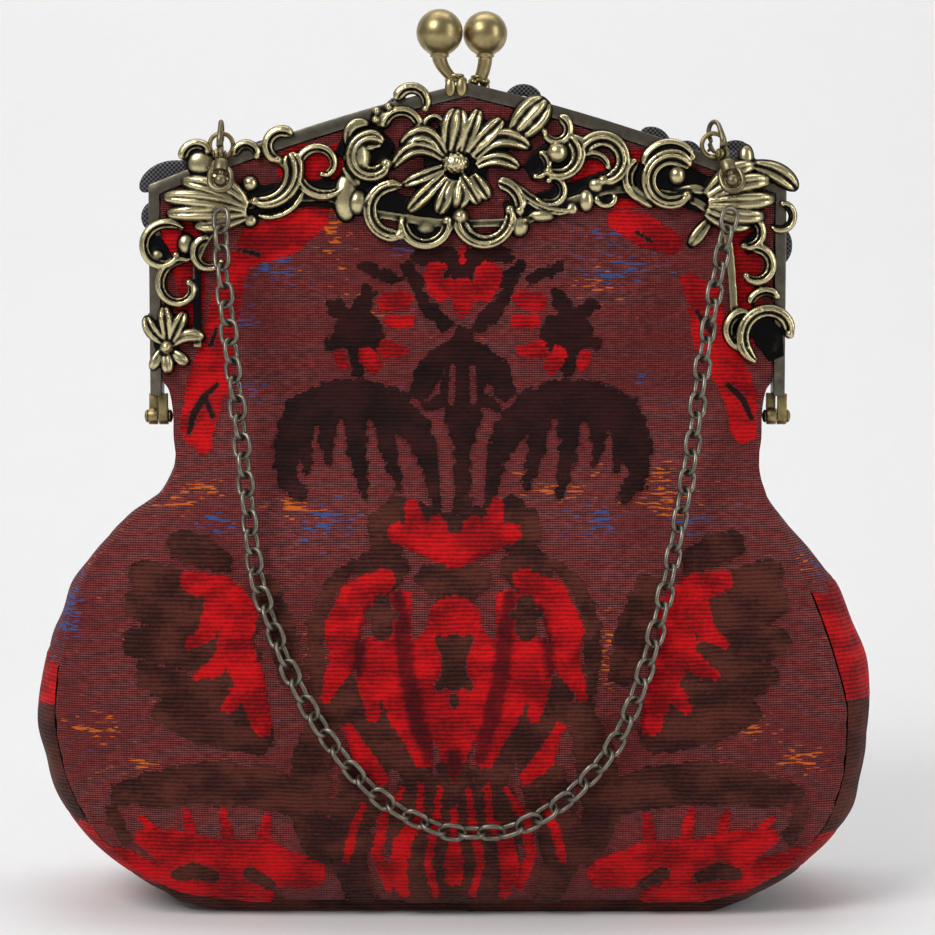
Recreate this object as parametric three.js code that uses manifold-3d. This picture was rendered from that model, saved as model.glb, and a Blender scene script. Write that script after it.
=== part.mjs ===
// A small evening bag of cut velvet on a kiss-lock purse frame of cast brass, with a chain strap.
// Millimetres, +Z up, the front of the bag faces -Y, the bag stands on Z = 0.

import * as THREE from 'three';
import { mergeVertices } from 'three/addons/utils/BufferGeometryUtils.js';
import Module from 'manifold-3d';

const wasm = await Module();
wasm.setup();

// The frame
const FRAME_SPAN = 165; // across the outside of both legs
const HINGE_HEIGHT = 127; // from the floor to the axis of the hinges
const LEG_HEIGHT = 60; // from the hinge axis to the corner of the frame
const PEAK_HEIGHT = 86.2; // from the hinge axis to the peak of the frame
const GABLE_BOW = 1.8; // how far the sloping rails bow upward
const RAIL_HEIGHT = 3.5;
const LEG_WIDTH = 2.9;
const RAIL_DEPTH = 3.7;
const HALVES_GAP = 0.4; // between the two closed halves
const INNER_RAIL_WIDTH = 2.1;
const INNER_RAIL_DEPTH = 1.5;
const RELIEF = 1; // height of the relief: 1 is the real one
const CHART_RISE = 2.2; // from the hinge axis to the line the relief is charted from
const CHART_STEPS = 641; // steps of the relief's chart in the span
const KNUCKLE_RADIUS = 2.2;
const KNUCKLE_WIDTH = 2.4;
const LUG_HEIGHT = 6;
const RIVET_RADIUS = 0.8;
const RIVET_HEAD_RADIUS = 1.7;
const RIVET_HEAD_WIDTH = 0.8;
const CLEARANCE = 0.3; // between pieces that touch or turn on each other

// The kiss lock
const FRONT_BALL_RADIUS = 6;
const BACK_BALL_RADIUS = 5.75;
const BALL_SPACING = 11.8; // between the middles of the balls, seen from the front
const BALL_OFFSET = 1.3; // how far their middle lies left of the peak
const BALL_STAGGER = 1.7; // of each ball from the plane between the halves
const BALL_RISE = 13; // from the peak of the rail to the middle of a ball
const STEM_RADIUS = 1.8;
const FOOT_WIDTH = 5.4;
const FOOT_WALL = 1.4;
const FOOT_SKIRT = 3.4; // how far a foot laps down the front of the rail

// The bag
const HALF_WIDTH = 100; // of a panel at its widest, on average
const HALF_DEPTH = 30; // of the gusset at its widest
const CROWN = 8; // how far a panel swells past its seam
const GUSSET_SWELL = 7; // how far the gusset swells past the seam
const SEAM_HEIGHT = 4.5; // of the seam under the bag
const CLOTH = 1.6;
const HINGE_PLAY = 1.6; // beside the cloth at the hinges
const GUSSET_TOP = 0.965; // share of HINGE_HEIGHT at which the gusset ends

// The strap
const EYE_PLACE = 0.7697; // share of half the frame at which each eye stands
const EYE_RADIUS = 3;
const EYE_WIRE = 0.6;
const EYE_RISE = 2.9; // from the top of the rail to the middle of an eye
const CLAW_WIRE = 1.4;
const CLAW_WIDTH = 3.55; // inside
const CLAW_LENGTH = 6.6; // from the eye's wire to the lever's pin
const CLAW_THICKNESS = 1.6;
const LEVER_THICKNESS = 0.8;
const PIN_RADIUS = 0.45;
const PIN_OFFSET = 0.6; // of the lever's pin from the middle of the eye's wire
const PIN_HEAD_WIDTH = 0.5;
const PLATE_RADIUS = 2.1; // of the plate behind the lever
const HUB_RADIUS = 1.5; // of the lever, round its pin
const POST_RADIUS = 0.9; // of the post that the loop turns on
const POST_OFFSET = 0.4; // of the post behind the middle of the clasp
const KNOB_RADIUS = 1.7; // at the end of the post
const BOSS_RADIUS = 2.1; // of the loop's bored boss
const BOSS_LENGTH = 3.15;
const CLASP_TILT = 30; // degrees that a clasp leans forward
const LOOP_WIDTH = 7;
const LOOP_LENGTH = 8.4;
const LOOP_WIRE = 0.75;
const CHAIN_WIDTH = 5.6; // across a link
const CHAIN_DROP = 14.6; // from the middle of an eye to the top of the chain

const brass = new THREE.MeshStandardMaterial({ color: 0x8f8a74, roughness: 0.38, metalness: 1 });
const gunmetal = new THREE.MeshStandardMaterial({ color: 0x6b6862, roughness: 0.42, metalness: 1 });
const velvet = new THREE.MeshStandardMaterial({ color: 0x7a2226, roughness: 0.95, metalness: 0 });

const railFront = -(HALVES_GAP / 2 + RAIL_DEPTH);
const reliefBase = railFront + CLEARANCE; // the relief is rooted a little into the rail
const frameHalf = FRAME_SPAN / 2;
const legInside = frameHalf - LEG_WIDTH;
const radians = THREE.MathUtils.degToRad;

// The upper edge of the frame: two rails that rise from the corners to the peak, a little bowed
function gable(x) {
  const along = 1 - Math.min(Math.abs(x) / frameHalf, 1);
  const bow = GABLE_BOW * 4 * along * (1 - along);
  return HINGE_HEIGHT + LEG_HEIGHT + (PEAK_HEIGHT - LEG_HEIGHT) * along + bow;
}

// A closed body from rings of points, each ring a closed loop, with a fan over both ends
function loft(rings) {
  const size = rings[0].length;
  const positions = rings.flat().flatMap((point) => [point.x, point.y, point.z]);
  const index = [];
  for (let i = 0; i + 1 < rings.length; i++) {
    for (let j = 0; j < size; j++) {
      const a = i * size + j;
      const b = i * size + ((j + 1) % size);
      index.push(a, b, b + size, a, b + size, a + size);
    }
  }
  const last = (rings.length - 1) * size;
  for (let j = 1; j + 1 < size; j++) {
    index.push(0, j + 1, j, last, last + j, last + j + 1);
  }
  const geometry = new THREE.BufferGeometry();
  geometry.setAttribute('position', new THREE.Float32BufferAttribute(positions, 3));
  geometry.setIndex(index);
  return geometry;
}

// A cloth wall from its two faces, each a grid of points with the same rows and columns
function wall(outer, inner) {
  const rows = outer.length;
  const columns = outer[0].length;
  const count = rows * columns;
  const positions = [...outer.flat(), ...inner.flat()].flatMap((point) => [point.x, point.y, point.z]);
  const at = (row, column) => row * columns + column;
  const index = [];
  for (let i = 0; i + 1 < rows; i++) {
    for (let j = 0; j + 1 < columns; j++) {
      const [a, b, c, d] = [at(i, j), at(i, j + 1), at(i + 1, j + 1), at(i + 1, j)];
      index.push(a, b, c, a, c, d);
      index.push(a + count, c + count, b + count, a + count, d + count, c + count);
    }
  }
  const rim = [];
  for (let j = 0; j < columns; j++) {
    rim.push(at(0, j));
  }
  for (let i = 1; i < rows; i++) {
    rim.push(at(i, columns - 1));
  }
  for (let j = columns - 2; j >= 0; j--) {
    rim.push(at(rows - 1, j));
  }
  for (let i = rows - 2; i > 0; i--) {
    rim.push(at(i, 0));
  }
  rim.forEach((a, k) => {
    const b = rim[(k + 1) % rim.length];
    index.push(a, a + count, b + count, a, b + count, b);
  });
  const geometry = new THREE.BufferGeometry();
  geometry.setAttribute('position', new THREE.Float32BufferAttribute(positions, 3));
  geometry.setIndex(index);
  return geometry;
}

// A geometry as a solid that can be joined and cut, turned right side out where it isn't
function solid(geometry) {
  const bare = geometry.clone();
  bare.deleteAttribute('normal');
  bare.deleteAttribute('uv');
  const merged = mergeVertices(bare, 1e-4);
  const triangles = Uint32Array.from(merged.index.array);
  const positions = Float32Array.from(merged.attributes.position.array);
  const a = new THREE.Vector3();
  const b = new THREE.Vector3();
  const c = new THREE.Vector3();
  let volume = 0;
  for (let i = 0; i < triangles.length; i += 3) {
    a.fromArray(positions, triangles[i] * 3);
    b.fromArray(positions, triangles[i + 1] * 3);
    c.fromArray(positions, triangles[i + 2] * 3);
    volume += a.dot(b.cross(c));
  }
  if (volume < 0) {
    for (let i = 0; i < triangles.length; i += 3) {
      [triangles[i], triangles[i + 1]] = [triangles[i + 1], triangles[i]];
    }
  }
  return new wasm.Manifold(new wasm.Mesh({ numProp: 3, vertProperties: positions, triVerts: triangles }));
}

function geometryOf(body) {
  const mesh = body.getMesh();
  const geometry = new THREE.BufferGeometry();
  geometry.setAttribute('position', new THREE.Float32BufferAttribute(mesh.vertProperties, 3));
  geometry.setIndex(Array.from(mesh.triVerts));
  return geometry;
}

const join = (geometries) => geometries.map(solid).reduce((all, next) => all.add(next));

// A flat outline in the X-Z plane, from one depth to another
function slab(shape, front, back) {
  const geometry = new THREE.ExtrudeGeometry(shape, {
    depth: back - front,
    bevelEnabled: false,
    curveSegments: 8,
  });
  geometry.rotateX(Math.PI / 2);
  geometry.translate(0, back, 0);
  return geometry;
}

function outline(points) {
  return new THREE.Shape(points.map(([x, z]) => new THREE.Vector2(x, z)));
}

// A flat bar of one width along a line of points in the X-Z plane
function bar(points, width, front, back) {
  const left = [];
  const right = [];
  points.forEach((point, i) => {
    const before = points[Math.max(i - 1, 0)];
    const after = points[Math.min(i + 1, points.length - 1)];
    const along = new THREE.Vector2(after[0] - before[0], after[1] - before[1]).normalize();
    left.push([point[0] - (along.y * width) / 2, point[1] + (along.x * width) / 2]);
    right.unshift([point[0] + (along.y * width) / 2, point[1] - (along.x * width) / 2]);
  });
  return slab(outline([...left, ...right]), front, back);
}

function rod(radius, from, to, sides = 10) {
  const geometry = new THREE.CylinderGeometry(radius, radius, from.distanceTo(to), sides);
  const along = to.clone().sub(from).normalize();
  const turn = new THREE.Quaternion().setFromUnitVectors(new THREE.Vector3(0, 1, 0), along);
  geometry.applyQuaternion(turn);
  const middle = from.clone().add(to).multiplyScalar(0.5);
  geometry.translate(middle.x, middle.y, middle.z);
  return geometry;
}

// The relief is charted in small steps: x from the middle, up from a line a little above the hinges.
// A step up is a share of the height of the frame there, so the relief follows the rails. CHARTED_FRAME
// is the frame as the chart shows it, in steps above that line.
const CHARTED_FRAME = { corner: 224.54, peak: 326.33, bow: 6.99 };
const chartX = (x) => (x * FRAME_SPAN) / CHART_STEPS;

function chartZ(x, up) {
  const foot = HINGE_HEIGHT + CHART_RISE;
  const along = 1 - Math.min(Math.abs(x) / (CHART_STEPS / 2), 1);
  const { corner, peak, bow } = CHARTED_FRAME;
  const steps = corner + (peak - corner) * along + bow * 4 * along * (1 - along);
  return foot + (up * (gable(chartX(x)) - foot)) / steps;
}

const charted = (x, up, height) => new THREE.Vector3(chartX(x), reliefBase - height, chartZ(x, up));

// Leaves, petals and bell flutes, from base to tip; bend is the bow to the left, a share of the length
const LEAVES = [
  // the flower
  { x: -17, up: 258, toX: -9, toUp: 302, bend: 0, wide: 25, rise: 3.4 },
  { x: -4, up: 257, toX: 12, toUp: 301, bend: 0, wide: 16, rise: 3 },
  { x: 2, up: 255, toX: 36, toUp: 291, bend: 0, wide: 18, rise: 3.2 },
  { x: 7, up: 250, toX: 64, toUp: 260, bend: 0.28, wide: 18, rise: 3.2 },
  { x: 9, up: 243, toX: 53, toUp: 240, bend: 0.2, wide: 14, rise: 3 },
  { x: 5, up: 235, toX: 22, toUp: 209, bend: 0, wide: 15, rise: 2.8 },
  { x: -6, up: 234, toX: 12, toUp: 204, bend: 0, wide: 14, rise: 3 },
  { x: -8, up: 229, toX: -12, toUp: 200, bend: 0, wide: 25, rise: 3.2 },
  { x: -15, up: 230, toX: -30, toUp: 194, bend: 0, wide: 16, rise: 3 },
  { x: -22, up: 235, toX: -61, toUp: 197, bend: 0, wide: 15, rise: 3.2 },
  { x: -20, up: 243, toX: -66, toUp: 224, bend: 0, wide: 13, rise: 2.8 },
  { x: -22, up: 249, toX: -76, toUp: 240, bend: -0.3, wide: 14, rise: 3.2 },
  { x: -23, up: 254, toX: -68, toUp: 263, bend: -0.36, wide: 16, rise: 3.2 },
  // around the flower
  { x: -124, up: 243, toX: -108, toUp: 222, bend: 0, wide: 11, rise: 2 },
  { x: 45, up: 272, toX: 80, toUp: 310, bend: 0, wide: 29, rise: 2.8 },
  { x: 158, up: 224, toX: 188, toUp: 202, bend: 0, wide: 11, rise: 2.4 },
  { x: 245, up: 192, toX: 222, toUp: 162, bend: 0, wide: 12, rise: 1.8 },
  { x: -221, up: 223, toX: -236, toUp: 194, bend: 0, wide: 10, rise: 2 },
  // the bell at the right corner and its leaf
  { x: 240, up: 214, toX: 290, toUp: 244, bend: 0.12, wide: 15, rise: 3.4 },
  { x: 241, up: 211, toX: 305, toUp: 228, bend: 0.08, wide: 16, rise: 4 },
  { x: 241, up: 206, toX: 310, toUp: 210, bend: 0, wide: 16, rise: 4.2 },
  { x: 240, up: 201, toX: 300, toUp: 194, bend: -0.06, wide: 15, rise: 3.8 },
  { x: 239, up: 197, toX: 286, toUp: 184, bend: -0.1, wide: 13, rise: 3 },
  { x: 286, up: 244, toX: 331, toUp: 219, bend: 0.1, wide: 17, rise: 2.2 },
  // the bell at the left corner
  { x: -221, up: 205, toX: -262, toUp: 234, bend: -0.08, wide: 14, rise: 3.4 },
  { x: -221, up: 203, toX: -288, toUp: 228, bend: -0.08, wide: 16, rise: 4 },
  { x: -221, up: 200, toX: -307, toUp: 212, bend: -0.04, wide: 16, rise: 4.2 },
  { x: -221, up: 197, toX: -304, toUp: 196, bend: 0, wide: 15, rise: 3.8 },
  { x: -222, up: 193, toX: -276, toUp: 184, bend: 0.06, wide: 13, rise: 3 },
  // the rosette on the left leg
  { x: -304, up: 66, toX: -324, toUp: 94, bend: 0.1, wide: 13, rise: 2.6 },
  { x: -302, up: 70, toX: -305, toUp: 104, bend: 0, wide: 14, rise: 2.8 },
  { x: -298, up: 68, toX: -284, toUp: 99, bend: 0, wide: 13, rise: 2.6 },
  { x: -297, up: 64, toX: -264, toUp: 70, bend: 0.2, wide: 12, rise: 2.4 },
  { x: -298, up: 58, toX: -281, toUp: 44, bend: 0, wide: 11, rise: 2.2 },
  { x: -304, up: 58, toX: -301, toUp: 34, bend: 0, wide: 11, rise: 2.4 },
  { x: -308, up: 60, toX: -319, toUp: 38, bend: 0, wide: 10, rise: 2.2 },
];

// Scrolls and curls: arcs round a middle, from one radius and width to another, angles in degrees
const SCROLLS = [
  // left of the flower
  { x: -56, up: 306, radius: 15, toRadius: 15, from: 170, to: -23, wide: 9, toWide: 7, rise: 3 },
  { x: -66, up: 280, radius: 18, toRadius: 18, from: 175, to: 10, wide: 8, toWide: 8, rise: 2.6 },
  { x: -96, up: 252, radius: 17, toRadius: 16, from: 50, to: 335, wide: 17, toWide: 11, rise: 4 },
  { x: -73, up: 199, radius: 25, toRadius: 25, from: 73, to: 283, wide: 10, toWide: 11, rise: 3 },
  { x: -42, up: 188, radius: 23, toRadius: 22, from: 172, to: 362, wide: 9, toWide: 9, rise: 2.6 },
  // under and right of the flower
  { x: 17, up: 193, radius: 25, toRadius: 26, from: 180, to: 375, wide: 13, toWide: 9, rise: 3 },
  { x: 29, up: 203, radius: 24, toRadius: 24, from: 88, to: -10, wide: 11, toWide: 9, rise: 2.8 },
  { x: 98, up: 265, radius: 65, toRadius: 65, from: 213, to: 276, wide: 8, toWide: 11, rise: 2.4 },
  { x: 84, up: 221, radius: 17, toRadius: 8, from: 215, to: 470, wide: 8, toWide: 6, rise: 2.4 },
  { x: 68, up: 245, radius: 12, toRadius: 12, from: 75, to: -90, wide: 8, toWide: 6, rise: 2.2 },
  { x: 91, up: 255, radius: 20, toRadius: 20, from: 58, to: -120, wide: 13, toWide: 9, rise: 3 },
  { x: 89, up: 280, radius: 12, toRadius: 12, from: 80, to: -165, wide: 9, toWide: 6, rise: 2.6 },
  // right middle
  { x: 135, up: 249, radius: 22, toRadius: 20, from: 165, to: -88, wide: 13, toWide: 10, rise: 3 },
  // right rose scroll
  { x: 204, up: 229, radius: 23, toRadius: 22, from: 35, to: 315, wide: 14, toWide: 10, rise: 3.4 },
  { x: 203, up: 239, radius: 27, toRadius: 26, from: 168, to: 30, wide: 9, toWide: 7, rise: 2.8 },
  { x: 181, up: 233, radius: 19, toRadius: 23, from: 125, to: 268, wide: 10, toWide: 8, rise: 2.4 },
  // right corner and leg
  { x: 314, up: 193, radius: 13, toRadius: 13, from: 225, to: 440, wide: 6, toWide: 6, rise: 2 },
  { x: 281, up: 177, radius: 14, toRadius: 14, from: 140, to: -105, wide: 9, toWide: 7, rise: 2.6 },
  { x: 289, up: 143, radius: 19, toRadius: 13, from: 112, to: -135, wide: 9, toWide: 7, rise: 2.6 },
  { x: 280, up: 79, radius: 18, toRadius: 18, from: 85, to: 275, wide: 9, toWide: 7, rise: 2.4 },
  { x: 305, up: 75, radius: 31, toRadius: 19, from: 243, to: 0, wide: 11, toWide: 9, rise: 3 },
  { x: 300, up: 102, radius: 16, toRadius: 16, from: 168, to: 45, wide: 8, toWide: 7, rise: 2.2 },
  // left of the middle
  { x: -147, up: 243, radius: 31, toRadius: 8, from: 322, to: -80, wide: 9, toWide: 6, rise: 2.8 },
  { x: -205, up: 238, radius: 31, toRadius: 31, from: 34, to: -105, wide: 18, toWide: 9, rise: 3.4 },
  { x: -199, up: 230, radius: 37, toRadius: 35, from: -108, to: -4, wide: 6, toWide: 6, rise: 2 },
  { x: -186, up: 263, radius: 15, toRadius: 14, from: 45, to: 255, wide: 9, toWide: 8, rise: 2.8 },
  { x: -222, up: 254, radius: 11, toRadius: 11, from: 185, to: -5, wide: 7, toWide: 7, rise: 2.4 },
  // left corner and leg
  { x: -271, up: 251, radius: 14, toRadius: 14, from: 185, to: 35, wide: 9, toWide: 7, rise: 2.6 },
  { x: -304, up: 161, radius: 27, toRadius: 13, from: 45, to: 330, wide: 8, toWide: 7, rise: 2.8 },
  { x: -259, up: 156, radius: 15, toRadius: 14, from: 97, to: 325, wide: 9, toWide: 6, rise: 2.6 },
  { x: -288, up: 123, radius: 27, toRadius: 9, from: 72, to: 386, wide: 8, toWide: 7, rise: 2.6 },
];

// Buds, beads, berries and bosses: half lengths along x and up
const BUDS = [
  { x: -12, up: 246, long: 19, tall: 16, rise: 4.6 },
  { x: -86, up: 291, long: 12, tall: 12, rise: 2.2 },
  { x: -122, up: 212, long: 14, tall: 26, rise: 2.6 },
  { x: -110, up: 207, long: 12, tall: 14, rise: 3 },
  { x: -41, up: 184, long: 15, tall: 11, rise: 1.6 },
  { x: -7, up: 193, long: 9, tall: 9, rise: 3.4 },
  { x: 52, up: 184, long: 11, tall: 13, rise: 2.6 },
  { x: 75, up: 194, long: 15, tall: 8, rise: 2.4 },
  { x: 90, up: 257, long: 14, tall: 14, rise: 3.6 },
  { x: 119, up: 209, long: 9, tall: 13, rise: 2.6 },
  { x: 129, up: 224, long: 10, tall: 9, rise: 2.4 },
  { x: 210, up: 234, long: 10, tall: 11, rise: 3 },
  { x: 279, up: 251, long: 9, tall: 15, rise: 2.4 },
  { x: -218, up: 226, long: 9, tall: 9, rise: 2.6 },
  { x: -218, up: 189, long: 8, tall: 8, rise: 2 },
  { x: -267, up: 246, long: 16, tall: 15, rise: 2.2 },
  { x: -312, up: 153, long: 9, tall: 9, rise: 1.8 },
  { x: -283, up: 165, long: 10, tall: 12, rise: 2 },
  { x: -303, up: 62, long: 9, tall: 9, rise: 3.4 },
];

// The thin rail behind the relief, from the foot of the left inner leg to that of the right one
const INNER_RAIL = [
  { x: -272, up: 62 },
  { x: -272, up: 145 },
  { x: -250, up: 185 },
  { x: -215, up: 205 },
  { x: -147, up: 212 },
  { x: -87, up: 195 },
  { x: -7, up: 186 },
  { x: 53, up: 188 },
  { x: 93, up: 205 },
  { x: 153, up: 220 },
  { x: 223, up: 210 },
  { x: 261, up: 172 },
  { x: 269, up: 90 },
];

// A ridge of relief along a line: a flat back, and a crest that rises with the width
function ridge(stations) {
  const rings = stations.map(({ x, up, width, rise }, i) => {
    const before = stations[Math.max(i - 1, 0)];
    const after = stations[Math.min(i + 1, stations.length - 1)];
    const along = new THREE.Vector2(after.x - before.x, after.up - before.up).normalize();
    const side = (share, height) => charted(x - along.y * width * share, up + along.x * width * share, height);
    return [side(0.5, 0), side(0, rise), side(-0.5, 0)];
  });
  return loft(rings);
}

// A closed body from a flat outline and the top of its crest
function facets(rim, crest) {
  const positions = [...rim, crest].flatMap((point) => [point.x, point.y, point.z]);
  const index = [];
  for (let i = 0; i < rim.length; i++) {
    index.push(i, (i + 1) % rim.length, rim.length);
  }
  for (let i = 1; i + 1 < rim.length; i++) {
    index.push(0, i + 1, i);
  }
  const geometry = new THREE.BufferGeometry();
  geometry.setAttribute('position', new THREE.Float32BufferAttribute(positions, 3));
  geometry.setIndex(index);
  return geometry;
}

function leaf({ x, up, toX, toUp, bend, wide, rise }) {
  const start = new THREE.Vector2(x, up);
  const end = new THREE.Vector2(toX, toUp);
  const across = new THREE.Vector2(start.y - end.y, end.x - start.x);
  const side = across.clone().setLength(wide / 2);
  const middle = start.clone().lerp(end, 0.55).addScaledVector(across, bend);
  const at = (point, height) => charted(point.x, point.y, height);
  const rim = [
    start.clone().addScaledVector(side, 0.6),
    start.clone().addScaledVector(side, -0.6),
    middle.clone().sub(side),
    end,
    middle.clone().add(side),
  ];
  return facets(rim.map((point) => at(point, 0)), at(middle, rise * RELIEF));
}

function scroll({ x, up, radius, toRadius, from, to, wide, toWide, rise }) {
  const turns = Math.ceil(Math.abs(to - from) / 62);
  const stations = [];
  for (let i = 0; i <= turns; i++) {
    const share = i / turns;
    const angle = radians(THREE.MathUtils.lerp(from, to, share));
    const reach = THREE.MathUtils.lerp(radius, toRadius, share);
    const end = i === 0 || i === turns ? 0.6 : 1;
    stations.push({
      x: x + reach * Math.cos(angle),
      up: up + reach * Math.sin(angle),
      width: THREE.MathUtils.lerp(wide, toWide, share) * end * 1.15,
      rise: rise * RELIEF * end,
    });
  }
  return ridge(stations);
}

function bud({ x, up, long, tall, rise }) {
  const rim = [0, 60, 120, 180, 240, 300].map((degrees) => {
    return charted(x + long * Math.cos(radians(degrees)), up + tall * Math.sin(radians(degrees)), 0);
  });
  return facets(rim, charted(x, up, rise * RELIEF));
}

// The outer rail: up one leg, over the gable and down the other leg
function outerRail() {
  const foot = HINGE_HEIGHT + LUG_HEIGHT - 2 * CLEARANCE;
  const xs = [-1, -0.75, -0.5, -0.25, 0, 0.25, 0.5, 0.75, 1].map((share) => share * frameHalf);
  const top = xs.map((x) => [x, gable(x)]);
  const under = xs.map((x) => [x, gable(x) - RAIL_HEIGHT]).slice(1, -1);
  const corner = gable(legInside) - RAIL_HEIGHT;
  const points = [
    [-frameHalf, foot],
    ...top,
    [frameHalf, foot],
    [legInside, foot],
    [legInside, corner],
    ...under.reverse(),
    [-legInside, corner],
    [-legInside, foot],
  ];
  return slab(outline(points), railFront, -HALVES_GAP / 2);
}

// A knuckle stands on the hinge axis, on the inner or the outer side of the joint
const jointPlane = frameHalf - LEG_WIDTH + 1.15;

function knuckle(side, inner) {
  const near = inner ? jointPlane - CLEARANCE / 2 : jointPlane + CLEARANCE / 2;
  const far = inner ? near - KNUCKLE_WIDTH : near + KNUCKLE_WIDTH;
  const from = new THREE.Vector3(side * near, 0, HINGE_HEIGHT);
  const to = new THREE.Vector3(side * far, 0, HINGE_HEIGHT);
  const barrel = rod(KNUCKLE_RADIUS, from, to, 14);
  const lug = new THREE.BoxGeometry(KNUCKLE_WIDTH, KNUCKLE_RADIUS - HALVES_GAP / 2, LUG_HEIGHT);
  lug.translate(
    (side * (near + far)) / 2,
    -(KNUCKLE_RADIUS + HALVES_GAP / 2) / 2,
    HINGE_HEIGHT + LUG_HEIGHT / 2,
  );
  return [barrel, lug];
}

// The eyes that the strap hooks on stand on the front of the rail
const eyeX = EYE_PLACE * frameHalf;
const eyeY = railFront;
const eyeZ = gable(eyeX) + EYE_RISE;

function eye(side) {
  const ring = new THREE.TorusGeometry(EYE_RADIUS, EYE_WIRE, 5, 10);
  ring.rotateX(Math.PI / 2);
  ring.translate(side * eyeX, eyeY, eyeZ);
  return ring;
}

function frameHalfBody(withEyes) {
  const innerRail = bar(
    INNER_RAIL.map(({ x, up }) => [chartX(x), chartZ(x, up)]),
    INNER_RAIL_WIDTH,
    reliefBase - INNER_RAIL_DEPTH,
    reliefBase,
  );
  const pieces = [
    outerRail(),
    innerRail,
    ...knuckle(-1, true),
    ...knuckle(1, false),
    ...LEAVES.map(leaf),
    ...SCROLLS.map(scroll),
    ...BUDS.map(bud),
    ...(withEyes ? [eye(-1), eye(1)] : []),
  ];
  const reach = frameHalf + KNUCKLE_WIDTH;
  const axis = [new THREE.Vector3(-reach, 0, HINGE_HEIGHT), new THREE.Vector3(reach, 0, HINGE_HEIGHT)];
  const bore = solid(rod(RIVET_RADIUS + CLEARANCE, ...axis, 12));
  return geometryOf(join(pieces).subtract(bore));
}

// A rivet: a shank with a head at each end
function hingeRivet() {
  const half = KNUCKLE_WIDTH + 1.5 * CLEARANCE;
  const points = [
    [0, -half - RIVET_HEAD_WIDTH],
    [RIVET_HEAD_RADIUS, -half - RIVET_HEAD_WIDTH],
    [RIVET_HEAD_RADIUS, -half],
    [RIVET_RADIUS, -half],
    [RIVET_RADIUS, half],
    [RIVET_HEAD_RADIUS, half],
    [RIVET_HEAD_RADIUS, half + RIVET_HEAD_WIDTH],
    [0, half + RIVET_HEAD_WIDTH],
  ];
  const geometry = new THREE.LatheGeometry(points.map(([x, y]) => new THREE.Vector2(x, y)), 10);
  geometry.rotateZ(Math.PI / 2);
  return geometry;
}

// A ball on a bent stem, whose foot is folded over the peak of the rail and down its face
function kissLock(side, ballX, ballRadius) {
  const top = gable(0);
  const ballAt = new THREE.Vector3(ballX, side * BALL_STAGGER, top + BALL_RISE);
  const footX = Math.sign(ballX) * (FOOT_WIDTH / 2 + CLEARANCE);
  const face = Math.abs(railFront) + CLEARANCE;
  const under = top + CLEARANCE;
  const profile = [
    [HALVES_GAP / 2, under],
    [face, under],
    [face, top - FOOT_SKIRT],
    [face + FOOT_WALL, top - FOOT_SKIRT],
    [face + FOOT_WALL, under + FOOT_WALL * 0.5],
    [face, under + 2 * FOOT_WALL],
    [HALVES_GAP / 2, under + 2 * FOOT_WALL],
  ];
  const foot = new THREE.ExtrudeGeometry(outline(profile), { depth: FOOT_WIDTH, bevelEnabled: false });
  foot.rotateX(Math.PI / 2);
  foot.rotateZ(side < 0 ? -Math.PI / 2 : Math.PI / 2);
  foot.computeBoundingBox();
  const box = foot.boundingBox;
  foot.translate(
    footX - (box.min.x + box.max.x) / 2,
    (side * (HALVES_GAP / 2 + face + FOOT_WALL)) / 2 - (box.min.y + box.max.y) / 2,
    top - FOOT_SKIRT - box.min.z,
  );
  const route = new THREE.CatmullRomCurve3([
    new THREE.Vector3(footX, side * face * 0.6, top + FOOT_WALL),
    new THREE.Vector3(footX * 1.05, side * face * 0.55, top + BALL_RISE * 0.3),
    ballAt.clone().lerp(new THREE.Vector3(footX, side * face * 0.6, top), 0.3),
    ballAt,
  ]);
  const section = new THREE.Shape().absarc(0, 0, STEM_RADIUS, 0, 2 * Math.PI);
  const stem = new THREE.ExtrudeGeometry(section, { steps: 3, extrudePath: route, curveSegments: 4 });
  const ball = new THREE.SphereGeometry(ballRadius, 12, 8);
  ball.rotateX(Math.PI / 2);
  ball.translate(ballAt.x, ballAt.y, ballAt.z);
  return geometryOf(join([foot, stem, ball]));
}

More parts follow.
